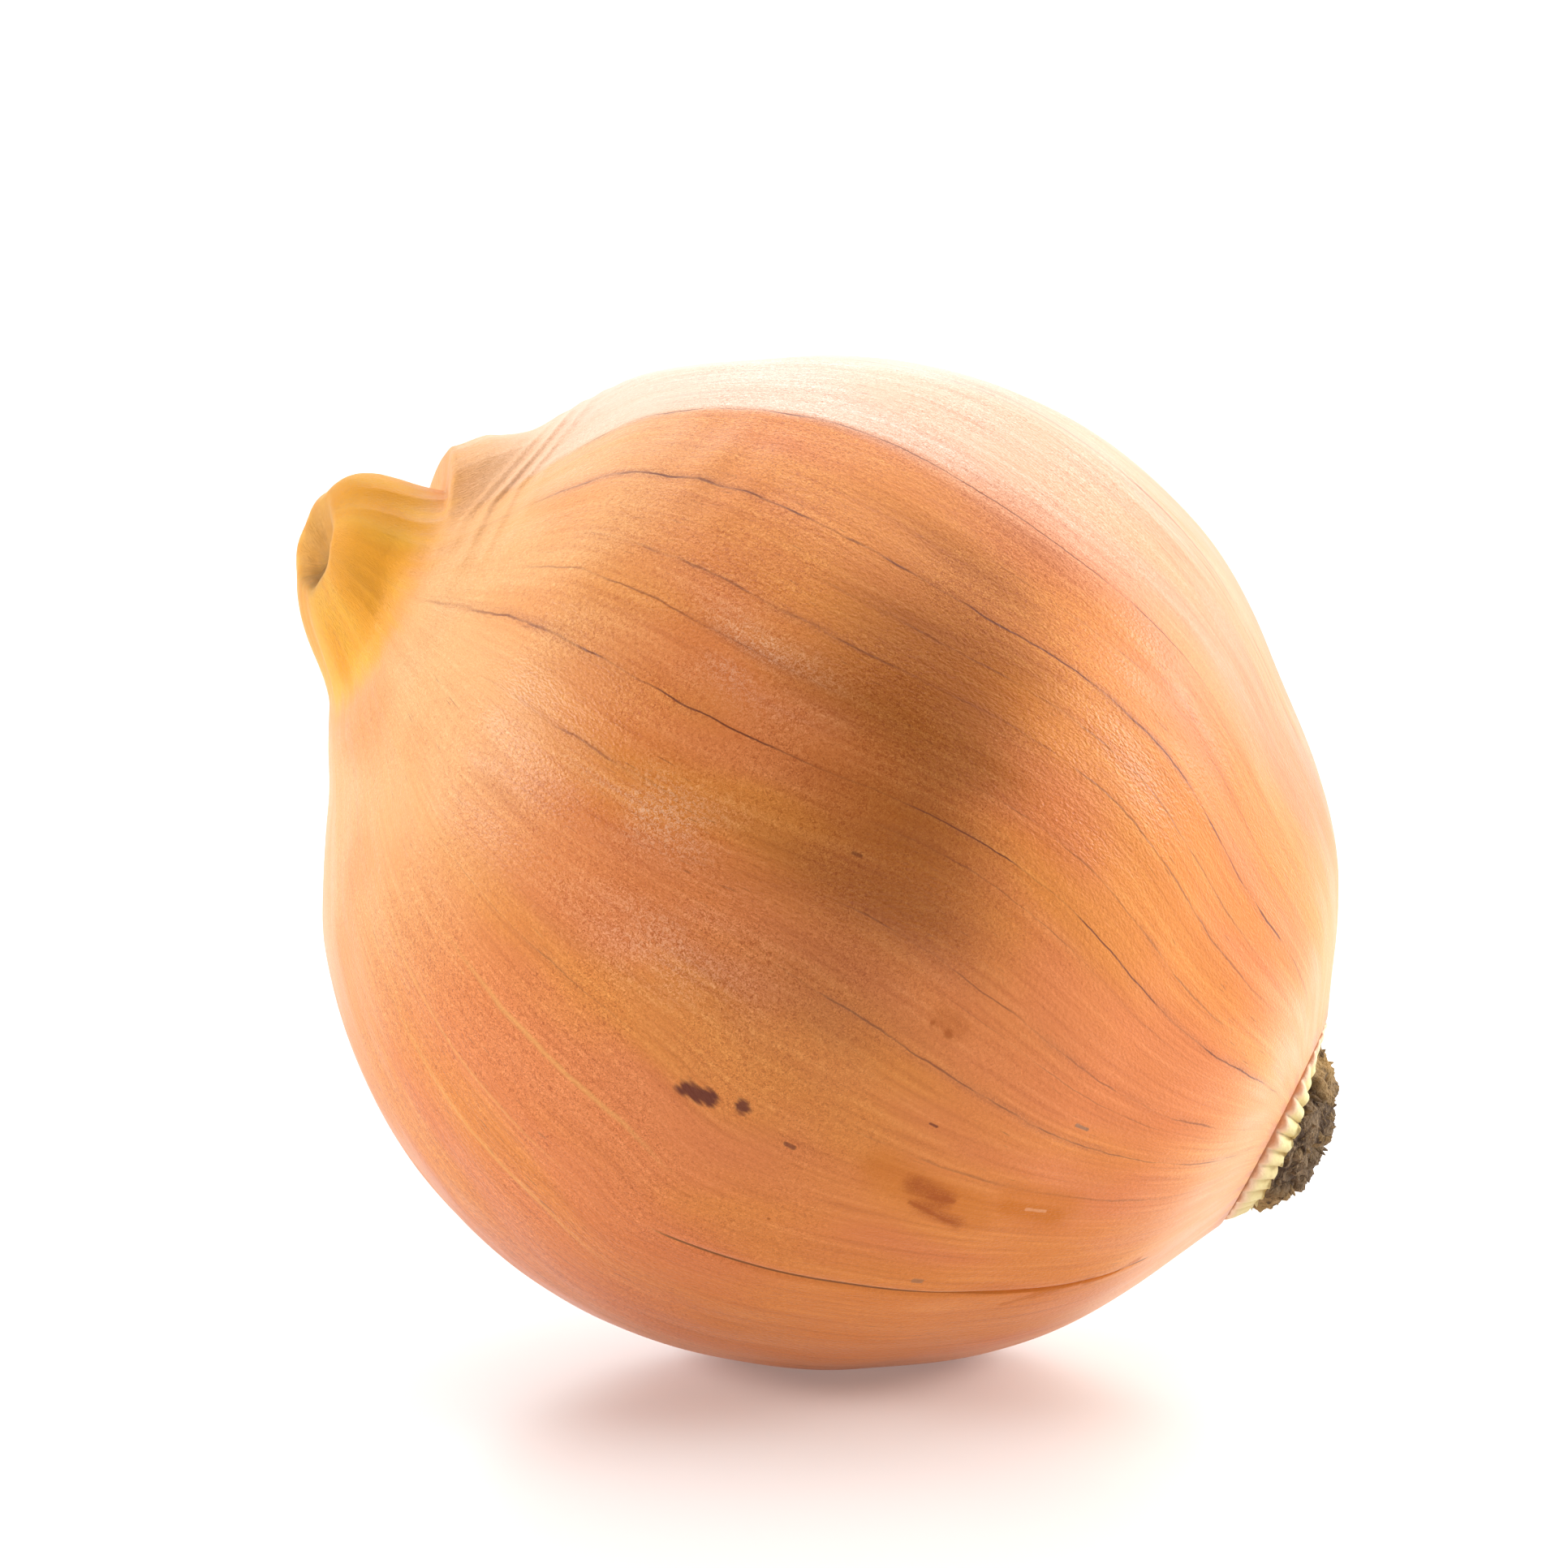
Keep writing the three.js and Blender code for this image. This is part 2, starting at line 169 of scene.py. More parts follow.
# --- The finer step of this surface, and the relief that only it carries ---
COLUMNS = 384
ROW_STEP = 0.62
FINE_ROW_STEP = 0.3
FINE_FROM = 34
SPLIT_COLUMNS = (0.12, 0.24, 0.4, 0.7, 1.1)  # extra columns, this far from the split
KNOB_COLUMNS = 10
RING_STEP = 0.12
CRUST_ROWS = 44
STUB_SIDES = 10
STUB_ROWS = 5
LUMP_SIZE = 4
LUMP_STRETCH = 3
LUMP_RISE = 0.05
LUMPS_FADE = (14, 34)  # radii between which they fade in

# Soft waves on the shoulder below the sharp rib.
RIPPLES_MIDDLE = math.radians(-47)
RIPPLES_REACH = 0.26
RIPPLES_START = 24.5
RIPPLES_SLOPE = 9
RIPPLES_APART = 3.4
RIPPLES_RISE = 0.2
RIPPLES_LEVEL = (25, 6.5)  # middle and reach, in height

# The sharp pleats below the fold.
PLEATS_MIDDLE = math.radians(-32)
PLEATS_REACH = math.radians(50)
PLEATS_BEND = math.radians(-40)
PLEATS_SLOPE = 5
PLEATS_APART = 1.15
PLEATS_WAVES = (3, 1.5)  # number round and size of their wavering
PLEATS_RISE = 0.5
PLEATS_LEVEL = (36.6, 3)

# --- The camera: where it stands and how much it takes in ---
AZIMUTH = math.radians(-6)
ELEVATION = math.radians(8)
DISTANCE = 0.55
SENSOR = 36
PHOTO_SIDE = 1932
MM_PER_PIXEL = 0.064
BULB_PIXEL = (1008, 1062)  # where the photo shows BULB_MIDDLE
BULB_MIDDLE = Vector((0, 0, 0.0394))


def ramp(start, end, x):
    """0 before start, 1 after end, smooth between."""
    share = np.clip((np.asarray(x, float) - start) / (end - start), 0, 1)
    return share * share * (3 - 2 * share)


def mix(a, b, share):
    return a + (b - a) * share


def bump(x, middle, half_width):
    """1 at the middle, 0 at half_width from it and beyond."""
    return 1 - ramp(0, half_width, np.abs(x - middle))


def wrap(angle):
    """The angle between minus half a turn and half a turn."""
    return (np.asarray(angle) + math.pi) % TURN - math.pi


def cloud(points, size, stretch=1, octaves=2, seed=0):
    """Smooth noise from about -1 to 1, size millimetres across and longer along Z by stretch."""
    scaled = (points / (size * np.array([1, 1, stretch])) + seed).reshape(-1, 3)
    values = [noise.fractal(Vector(point), 1, 2, octaves) for point in scaled]
    return np.array(values).reshape(points.shape[:-1]) * 1.5


# --- Surfaces round the upright axis ---


def on_cylinder(angle, along):
    """Points round the axis for noise that follows the skin."""
    x, y = BULB_RADIUS * np.cos(angle), BULB_RADIUS * np.sin(angle)
    return np.stack(np.broadcast_arrays(x, y, along), axis=-1)


def smooth_line(points, step):
    """A smooth line through points, with a corner about every step(height) along it."""
    points = np.array(points, float)
    along = np.concatenate([[0], np.cumsum(np.linalg.norm(np.diff(points, axis=0), axis=1))])
    slopes = np.gradient(points, along, axis=0)
    out = []
    for i in range(len(points) - 1):
        length = along[i + 1] - along[i]
        count = max(1, math.ceil(length / step(points[i][1])))
        t = np.arange(count)[:, None] / count
        a, b = points[i], points[i + 1]
        m, n = slopes[i] * length, slopes[i + 1] * length
        out.append(
            (2 * t**3 - 3 * t**2 + 1) * a + (t**3 - 2 * t**2 + t) * m
            + (3 * t**2 - 2 * t**3) * b + (t**3 - t**2) * n
        )
    out.append(points[-1:])
    return np.concatenate(out)


def bulb_outline():
    """The bulb's half outline as (radius, height), from the root plate's recess to the dent."""
    turns = np.linspace(GLOBE_FROM, GLOBE_TO, GLOBE_ROWS + 1)
    globe = [(BULB_RADIUS * math.cos(t), BULB_HALF_HEIGHT * math.sin(t)) for t in turns]
    skin = [
        (SKIN_EDGE, SKIN_END), (13.1, -40.6), (17.9, -37.9), (23.2, -34.1), (27.1, -30.1),
        *globe,
        (20.9, 32.9), (17.4, 34.7), (14.4, 36.2), (12.4, 37.5), (11.1, 38.5),
        (10.2, FOLD_TOP - 0.05), (9.9, FOLD_TOP + 0.15), (8.9, 40.7), (8.1, 42), (7.3, 43.3),
        (6.4, 44.4), (5.4, 45.3), (4.4, NECK_LIP - 0.3), (3.4, NECK_LIP), (2.6, NECK_LIP - 0.4),
        (1.6, NECK_LIP - 1.2), (0.02, NECK_LIP - 1.5),
    ]
    seat = [
        (SEAT_RADIUS / 2, SEAT_HEIGHT), (SEAT_RADIUS, SEAT_HEIGHT),
        (SKIN_EDGE - SKIN_EDGE_WIDTH, SKIN_END), (SKIN_EDGE - SKIN_EDGE_WIDTH / 2, SKIN_END - 0.08),
    ]
    line = smooth_line(skin, lambda height: FINE_ROW_STEP if height > FINE_FROM else ROW_STEP)
    return np.concatenate([seat, line])


def bulb_columns():
    """The columns' angles, from the split once round to just before it, with more at its lips."""
    even = SPLIT_ANGLE + np.arange(1, COLUMNS) * TURN / COLUMNS
    lips = np.array(SPLIT_COLUMNS) / BULB_RADIUS
    outside = even[(even > SPLIT_ANGLE + lips[-1]) & (even < SPLIT_ANGLE + TURN - lips[-1])]
    angles = [[SPLIT_ANGLE], SPLIT_ANGLE + lips, outside, SPLIT_ANGLE + TURN - lips[::-1]]
    return np.concatenate(angles)


def split_share(height):
    """The split's depth at a height, as a share of its full depth."""
    start = 1 - ramp(SPLIT_FROM - 2 * SPLIT_CLOSING, SPLIT_FROM, height)
    end = ramp(SPLIT_END, SPLIT_END + SPLIT_CLOSING, height)
    opened = 1 - ramp(SPLIT_OPEN_FULL, SPLIT_OPEN_FROM, height)
    return start * end * mix(SPLIT_HAIRLINE, 1, opened)


def fold_share(angle, height):
    """How far the fold stands out at an angle and a height, as a share of its middle."""
    off = np.minimum(np.abs(wrap(angle - FOLD_MIDDLE)), FOLD_REACH)
    wall = 1 - ramp(FOLD_TOP - 0.1, FOLD_TOP + 0.15, height)
    share = np.cos(off / FOLD_REACH * math.pi / 2) ** FOLD_SHARPNESS
    return np.maximum(0, share - FOLD_FOOT) / (1 - FOLD_FOOT) * wall


def twist(angle, radius, height):
    """How far the veins lean sideways between the shoulder and the root end."""
    fade = ramp(*TWIST_BEGINS, height) * (1 - ramp(*TWIST_ENDS, height))
    side = np.maximum(0, np.sin(angle - TWIST_FROM))
    return TWIST * side * height / np.maximum(radius, TWIST_RADIUS) * fade


def split_sway(angle, height):
    """How far the split and the skin about it lean up towards the root end."""
    ends = ramp(*SPLIT_SWAY_ENDS, height) * ramp(*SPLIT_SWAY_BEGINS, height)
    near = bump(wrap(angle - SPLIT_ANGLE), 0, SPLIT_SWAY_REACH)
    return SPLIT_SWAY * (SPLIT_SWAY_MIDDLE - height) * ends * near


def ripples(angle, height):
    """Soft waves across the shoulder, in millimetres."""
    off = wrap(angle - RIPPLES_MIDDLE)
    waves = np.sin((height - RIPPLES_START + RIPPLES_SLOPE * off) * TURN / RIPPLES_APART)
    return RIPPLES_RISE * waves * bump(height, *RIPPLES_LEVEL) * bump(off, 0, RIPPLES_REACH)


def pleats(angle, height):
    """Sharp pleats across the skin below the fold, in millimetres."""
    around = wrap(angle - PLEATS_MIDDLE)
    level = height + PLEATS_SLOPE * np.maximum(0, wrap(angle - PLEATS_BEND))
    count, size = PLEATS_WAVES
    waves = np.sin(level * TURN / PLEATS_APART + size * np.sin(count * around))
    ridge = (0.5 + 0.5 * waves) ** 2
    return PLEATS_RISE * ridge * bump(level, *PLEATS_LEVEL) * bump(around, 0, PLEATS_REACH)


def skin_relief(angle, height, radius):
    """Low relief across the skin in millimetres, out from the smooth surface."""
    lumps = LUMP_RISE * cloud(on_cylinder(angle, height), LUMP_SIZE, LUMP_STRETCH, seed=4)
    return ripples(angle, height) + pleats(angle, height) + lumps * ramp(*LUMPS_FADE, radius)


def split_relief(angles, height):
    """The split's groove and its lifted upper lip, in millimetres."""
    from_split = np.abs(wrap(angles - SPLIT_ANGLE))[None, :] * BULB_RADIUS
    split = 1 - ramp(SPLIT_FLOOR, SPLIT_HALF_WIDTH, from_split)
    above = wrap(angles - SPLIT_ANGLE)[None, :] > 0
    lift = np.where(above, (1 - split) * (1 - ramp(*SPLIT_LIFT_FADE, from_split)), 0)
    return (SPLIT_LIFT * lift - SPLIT_DEPTH * split) * split_share(height)


def fold_relief(angle, height):
    """How far the fold stands out and leans forward, in millimetres."""
    share = fold_share(angle, height)
    out = FOLD_OUT * ramp(FOLD_START, FOLD_TOP - 1, height)
    out = out - FOLD_ROUNDING * ramp(FOLD_TOP - FOLD_ROUNDING, FOLD_TOP, height)
    forward = FOLD_FORWARD * ramp(FOLD_TOP - FOLD_LEAN_LENGTH, FOLD_TOP, height)
    return out * share, forward * share


def rib_relief(angles, radius, height):
    """How far the panels between the ribs are sunk, in millimetres."""
    ribs = np.radians(RIBS)
    panel_of = np.clip(np.searchsorted(ribs, angles, side="right") - 1, 0, len(ribs) - 2)
    panel = (ribs[panel_of + 1] - ribs[panel_of])[None, :]
    across = (angles[None, :] - ribs[panel_of][None, :]) / panel
    middle = angles[None, :] + (0.5 - across) * panel
    flatness = PANEL_FLATNESS + SHARP_FLATNESS * bump(wrap(middle - SHARP_RIB), 0, SHARP_REACH)
    on_skin = ramp(SKIN_EDGE, SKIN_EDGE + RIB_FADE, radius)
    flattened = flatness * radius * (1 - np.cos(panel / 2)) * on_skin
    gathered = ramp(PLEATS_FROM, PLEATS_FULL, height) * (1 - ramp(NECK_FULL, NECK_LIP, height))
    return 4 * across * (1 - across) * (flattened + PLEAT_DEPTH * gathered)


def rib_drift(angle, radius, height):
    """How far ribs and veins run sideways at a height, in radians."""
    on_skin = ramp(SKIN_EDGE, SKIN_EDGE + RIB_FADE, radius)
    off_split = 1 - bump(wrap(angle - SPLIT_ANGLE), 0, SPLIT_SWAY_REACH)
    drift = RIB_DRIFT * np.sin(height / RIB_DRIFT_LENGTH + 3 * angle) * on_skin * off_split
    return drift + twist(angle, radius, height) + split_sway(angle, height)


def bulb_points(rows, angles):
    """The corners of the bulb's surface, a row for each (radius, height) and column."""
    radius, height = rows[:, :1], rows[:, 1:]
    angle = angles[None, :]
    on_neck = ramp(NECK_START, NECK_FULL, height)
    fold_out, fold_forward = fold_relief(angle, height)
    out = radius - rib_relief(angles, radius, height) + split_relief(angles, height)
    out = out + fold_out + skin_relief(angle, height, radius)
    for count, depth, turned in NECK_CREASES:
        out = out * (1 + on_neck * depth * np.cos(count * angle + turned))
    turn = angle + rib_drift(angle, radius, height)
    lean = np.maximum(0, height - NECK_LEAN_START) / (NECK_LIP - NECK_LEAN_START)
    x = out * np.cos(turn) + NECK_LEAN * lean**2
    y = out * np.sin(turn) * mix(1, NECK_DEPTH, on_neck)
    lip_rise = (LIP_RISE[0] * x + LIP_RISE[1] * y) * ramp(LIP_FROM, LIP_TO, height)
    return with_foot(x, y, height + fold_forward + lip_rise)


def with_foot(x, y, z):
    """The points of the root end, which bulges below and ends a little askew."""
    share = np.maximum(0, FOOT_START - z) / (FOOT_START - SKIN_END)
    z = z + (FOOT_RISE[0] * x + FOOT_RISE[1] * y) * np.minimum(share, 1) ** FOOT_SHARPNESS
    x = x - FOOT_BULGE * np.maximum(0, np.sin(math.pi * share)) ** FOOT_ROUNDNESS
    return np.stack([x, y, z], axis=-1)


# --- The root plate ---


def chance(seed):
    """A number from 0 to 1 that looks random and is always the same for one seed."""
    return np.sin(np.asarray(seed) * 127.1 + 4.1) * 43758.5 % 1


def dome_height(share):
    """Height of the crust's dome, from its rim at share 0 to its middle at share 1."""
    return mix(CRUST_START, CRUST_END, np.asarray(share) ** CRUST_ROUNDNESS)


def rim_share(angle, radius, height):
    """How far the ring is drawn in: most above and below, not at all in front."""
    deep = np.clip((SKIN_END - height) / (SKIN_END - CRUST_START), 0, 1)
    return np.cos(angle) ** 2 * deep * np.minimum(radius / CRUST_RADIUS, 1) ** 3


def plate_outline():
    turns = np.linspace(math.pi / 2, 0, CRUST_ROWS + 1)[1:]
    dome = np.stack([CRUST_RADIUS * np.cos(turns), dome_height(np.sin(turns))], axis=1)
    ring = smooth_line([
        (CRUST_RADIUS, CRUST_START), (CRUST_RADIUS + 0.4, CRUST_START + 0.02),
        (CRUST_RADIUS + 1, CRUST_START + 0.5), (PLATE_RADIUS + 0.2, SKIN_END - 0.8),
        (PLATE_RADIUS + 0.45, SKIN_END - 0.4), (PLATE_RADIUS, SKIN_END),
    ], lambda height: RING_STEP)[1:]
    disc = [
        (PLATE_RADIUS, SKIN_END + 0.55), (PLATE_RADIUS, SEAT_HEIGHT - GAP),
        (PLATE_RADIUS / 2, SEAT_HEIGHT - GAP),
    ]
    return np.concatenate([dome, ring, disc])


def plate_points(rows):
    """The root plate's corners: knobs round its edge and a craggy crust in the middle."""
    columns = np.arange(KNOBS * KNOB_COLUMNS)
    angle = (columns * TURN / len(columns))[None, :]
    across = (columns % KNOB_COLUMNS) / KNOB_COLUMNS
    size = 1 - KNOB_UNEVENNESS * chance(columns // KNOB_COLUMNS)
    knob = (size * (1 - np.abs(2 * across - 1) ** KNOB_SHARPNESS))[None, :]
    radius, height = rows[:, :1], rows[:, 1:]
    in_crust = np.where(height < CRUST_START, ramp(0, CRUST_RADIUS / 3, radius), 0)
    on_knobs = ramp(CRUST_RADIUS, CRUST_RADIUS + 0.4, radius)
    on_knobs = on_knobs * (1 - ramp(SKIN_END - 0.6, SKIN_END - 0.1, height))
    tilt = CRUST_TILT * (1 - ramp(CRUST_START, CRUST_TILT_START, height))
    lump = 0
    for count, rise, turned in CRUST_LUMPS:
        lump = lump + rise * np.sin(count * angle + turned * radius) * in_crust
    rim = rim_share(angle, radius, height)
    rise = KNOB_RISE * knob * (1 - RIM_SMOOTHNESS * np.cos(angle) ** 2)
    out = radius + on_knobs * (rise - KNOB_MEAN) + lump / 2 - RIM_NARROWING * rim
    down = on_knobs * rise / 2 - RIM_RISE * rim
    x, y = out * np.cos(angle), out * np.sin(angle)
    points = np.stack([x, y, height - down + lump + tilt * x], axis=-1)
    crag = crust_crag(points) * np.where(height < CRUST_START + 0.03, 1, 0)[..., None]
    outward = points - np.array([0, 0, SEAT_HEIGHT])
    points = points + outward / np.linalg.norm(outward, axis=-1, keepdims=True) * crag
    return with_foot(points[..., 0], points[..., 1], points[..., 2])


def crust_crag(points):
    """Ragged relief in millimetres at each point: ridges and pits of several sizes."""
    crag = np.zeros(points.shape[:-1])
    for place in np.ndindex(crag.shape):
        at = Vector(points[place])
        for size, depth in CRUST_SIZES:
            crag[place] += depth * (1 - 4 * abs(noise.noise(at / size)))
    return (crag - CRUST_SINK)[..., None]


def stub_points(number, total, width, length):
    """A cut root: a short bent peg, sunk in the crust, that leans outwards."""
    share = (number + 0.5) / total
    angle = number * GOLDEN_ANGLE + 0.6 * chance(number)
    radius = CRUST_RADIUS * STUB_SPREAD * math.sqrt(share)
    outward = STUB_LEAN[0] + STUB_LEAN[1] * share
    stray = STUB_STRAY * (chance(number + total) - 0.5)
    lean = Vector((math.cos(angle) * outward + stray, math.sin(angle) * outward - stray, -1))
    lean.normalize()
    side = lean.orthogonal().normalized()
    over = lean.cross(side)
    height = float(dome_height(math.sqrt(1 - share * STUB_SPREAD)))
    rim = rim_share(angle, radius, height)
    radius -= RIM_NARROWING * rim
    x, y = radius * math.cos(angle), radius * math.sin(angle)
    foot = Vector((x, y, height + RIM_RISE * rim + CRUST_TILT * x))
    rows = []
    for row in range(STUB_ROWS):
        along = row / (STUB_ROWS - 1)
        bend = over * (STUB_BEND * (chance(number + 5) - 0.5) * along**2 * length)
        middle = foot + lean * length * (along - 0.5) + bend
        for i in range(STUB_SIDES):
            turn = i * TURN / STUB_SIDES
            rough = 0.88 + 0.24 * chance(number * 31 + row * 7 + i)
            reach = width * math.sqrt(1 - STUB_TAPER * along**3) * rough
            ragged = lean * (STUB_RAGGEDNESS * width * (chance(number + i * 3) - 0.5) * along)
            rows.append(middle + (side * math.cos(turn) + over * math.sin(turn)) * reach + ragged)
    points = np.array(rows).reshape(STUB_ROWS, STUB_SIDES, 3)
    return with_foot(points[..., 0], points[..., 1], points[..., 2])


def lay_down(points, rest_height):
    """Upright millimetres to metres, lying: the axis rises to the neck on the left."""
    cos, sin = math.cos(AXIS_RISE), math.sin(AXIS_RISE)
    x, y, z = points[..., 0], points[..., 1], points[..., 2]
    lying = np.stack([sin * x - cos * z, y, cos * x + sin * z + rest_height], axis=-1)
    lying[..., 2] = np.maximum(lying[..., 2], 0)
    return lying * MM


# --- Meshes ---


def grid_faces(rows, columns):
    """Quads between rows of corners round an axis, and a fan to a tip at each end."""
    row = np.arange(rows - 1)[:, None] * columns
    here = (row + np.arange(columns)).ravel()
    there = (row + (np.arange(columns) + 1) % columns).ravel()
    quads = np.stack([here, there, there + columns, here + columns], axis=1).tolist()
    last = (rows - 1) * columns
    for i in range(columns):
        j = (i + 1) % columns
        quads.append([rows * columns, j, i])
        quads.append([rows * columns + 1, last + i, last + j])
    return quads


def mesh_round(name, points):
    """A closed mesh from rows of corners round an axis."""
    rows, columns = points.shape[:2]
    corners = points.reshape(-1, 3).tolist()
    corners += [points[0].mean(axis=0).tolist(), points[-1].mean(axis=0).tolist()]
    mesh = bpy.data.meshes.new(name)
    mesh.from_pydata(corners, [], grid_faces(rows, columns))
    mesh.shade_smooth()
    return mesh


def give_values(mesh, name, values):
    """A named number, or a vector, at every corner of a round mesh; a tip takes its row's mean."""
    values = np.asarray(values, np.float32)
    kind, key = ("FLOAT_VECTOR", "vector") if values.ndim == 3 else ("FLOAT", "value")
    ends = np.stack([values[0].mean(axis=0), values[-1].mean(axis=0)])
    flat = np.concatenate([values.reshape(-1, *values.shape[2:]), ends])
    mesh.attributes.new(name, kind, "POINT").data.foreach_set(key, flat.ravel())


def give_phase(mesh, rows, phase):
    """The veins' count round the bulb as a UV map, which may jump back at its seam."""
    columns = len(phase) - 1
    start = np.tile(np.arange(columns), rows - 1)
    quads = np.stack([start, start + 1, start + 1, start], axis=1).ravel()
    here = np.arange(columns)
    fans = np.stack([here, here + 1, here, here, here, here + 1], axis=1).ravel()
    u = phase[np.concatenate([quads, fans])]
    layer = mesh.uv_layers.new(name="veins")
    layer.data.foreach_set("uv", np.stack([u, np.zeros_like(u)], axis=1).ravel().astype(np.float32))


def add_piece(name, mesh, node, material):
    piece = bpy.data.objects.new(name, mesh)
    bpy.context.scene.collection.objects.link(piece)
    mesh.materials.append(material)
    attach(piece, "root")
    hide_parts(node)


# --- The skin's veins ---

# Veins seen from the front: angle in degrees, heights where they fade in on the root side
# and out on the neck side, and strength. A negative strength is a pale streak.
FRONT_VEINS = [
    (-143.8, 5, 24, -0.6), (-135.4, 12, 30, -0.5), (-124, 6, 24, -0.6), (-113.8, 14, 30, 0.35),
    (-109.5, -34, -8, 0.3), (-99, -40, 3, 0.65), (-92.3, -32, -7, 0.35), (-90, -37, 6, 0.55),
    (-86, 19, 31, 0.45), (-80.2, -26, 3, 0.4), (-77, -38, 36, 1.0), (-71.5, -28, -2, 0.5),
    (-68.5, 14, 33, 0.6), (-63, -30, 29, 0.6), (-57.8, -28, 14, 0.5), (-52, -34, 34, 1.0),
    (-44.7, -24, 4, 0.35), (-37, -14, 33, 0.9), (-14, -30, 20, 0.35),
]
BACK_VEINS_FROM = -12
BACK_VEINS_TO = 206
VEIN_SEED = 7
VEIN_FADE = 5

# The brown patch in front, partly the skin's own tan and partly painted shade where the side facing
# forward
# gets little light: its middle to the right and up, its lean, and how far it reaches to the left,
# to the right and along, in millimetres.
TAN_SHADE_PLACE = (4.2, 50.5)
TAN_SHADE_LEAN = math.radians(-20)
TAN_SHADE_SIZE = (10, 7, 17)

# Painted sheen: pale places where a lamp's shine off the satin skin is painted in: angle and how
# far around it, height and how far along, and strength.
SHEEN_PLACES = [(-69, 8, 17.5, 9, 0.45), (-89, 8, 18.5, 11, 0.5), (-104, 11, 13, 12, 0.3)]

# Where the skin changes: heights from where it begins to where it is full.
PALE_TO_NECK = (21, 38)
PALE_TO_ROOTS = (-28, -40)
ROOTS_PALENESS = 0.75
CALM_TO_NECK = (24, 38)
RUBBED_TO_NECK = (-20, 8)
# The neck's amber, partly painted glow of light through its thin skin.
AMBER_GLOW_TO_NECK = (38.6, 41.8)
DENT_FROM = (41, 43)
DENT_RADII = (3.9, 2.6)
ROSY_WIDTH = 1.3
# The painted highlight above the sharp rib, where the top lamp shines off the skin.
HIGHLIGHT_EDGE = (3, 30)  # degrees over which it begins, at the neck end and at the root end
ROUGHNESS = (0.36, 0.5)


def vein_layout():
    """All veins, by angle from the split once round: the front ones and seeded ones behind."""
    start = math.degrees(SPLIT_ANGLE)
    veins = [((a - start) % 360 + start, low, high, share) for a, low, high, share in FRONT_VEINS]
    dice = random.Random(VEIN_SEED)
    angle = BACK_VEINS_FROM
    while angle < BACK_VEINS_TO:
        low, high = dice.uniform(-38, -16), dice.uniform(6, 34)
        veins.append((angle, low, high, dice.uniform(0.15, 0.9)))
        angle += dice.uniform(4, 9)
    veins += [(start, 0, 0, 0), (start + 360, 0, 0, 0)]
    return np.array(sorted(veins))


def tan_and_shade_share(lying, fibre):
    """How brown the skin is: a long patch on the side that faces forward, partly its own tan and
    partly painted shade.
    """
    across, up = lying[..., 0] / MM - TAN_SHADE_PLACE[0], lying[..., 2] / MM - TAN_SHADE_PLACE[1]
    cos, sin = math.cos(TAN_SHADE_LEAN), math.sin(TAN_SHADE_LEAN)
    wide, long = cos * across + sin * up, cos * up - sin * across
    wide = np.where(wide > 0, wide / TAN_SHADE_SIZE[1], wide / TAN_SHADE_SIZE[0])
    off = np.hypot(wide, long / TAN_SHADE_SIZE[2])
    off = off + 0.3 * cloud(fibre, 5, 4, seed=14)
    return (1 - ramp(0.05, 1.6, off)) * (lying[..., 1] < 0)


def dress_bulb(mesh, rows, angles, lying):
    """Gives the bulb's mesh the values that its skin is drawn from."""
    along = np.concatenate([[0], np.cumsum(np.linalg.norm(np.diff(rows, axis=0), axis=1))])
    fibre = on_cylinder(angles[None, :], along[:, None])
    give_values(mesh, "fibre", fibre)
    radius, height = rows[:, :1], rows[:, 1:]
    veins = vein_layout()
    phase = np.interp(np.degrees(angles), veins[:, 0], np.arange(len(veins)))
    give_phase(mesh, len(rows), np.append(phase, len(veins) - 1))
    values = {
        **vein_values(veins, phase, radius, height, fibre),
        **colour_values(height, angles, lying, fibre),
        **end_values(radius, height, lying, fibre),
        "split_off": np.abs(wrap(angles - SPLIT_ANGLE))[None, :] * radius,
        "split": split_share(height),
    }
    for name, value in values.items():
        give_values(mesh, name, np.broadcast_to(value, fibre.shape[:2]))


def vein_values(veins, phase, radius, height, fibre):
    """Where each vein shows, how strong it is, and how far it is to the next one."""
    nearest = veins[np.round(phase).astype(int)]
    low, high, strength = (nearest[None, :, i] for i in (1, 2, 3))
    shown = ramp(-VEIN_FADE, VEIN_FADE, height - low) * ramp(-VEIN_FADE, VEIN_FADE, high - height)
    gaps = np.diff(veins[:, 0])[np.clip(phase.astype(int), 0, len(veins) - 2)]
    vein = np.maximum(strength, 0) * shown
    return {
        "vein": vein,
        "smudge": vein * ramp(-0.15, 0.6, cloud(fibre, 4, 3)),
        "streak": np.maximum(-strength, 0) * shown,
        "gap": np.radians(gaps)[None, :] * radius,
    }


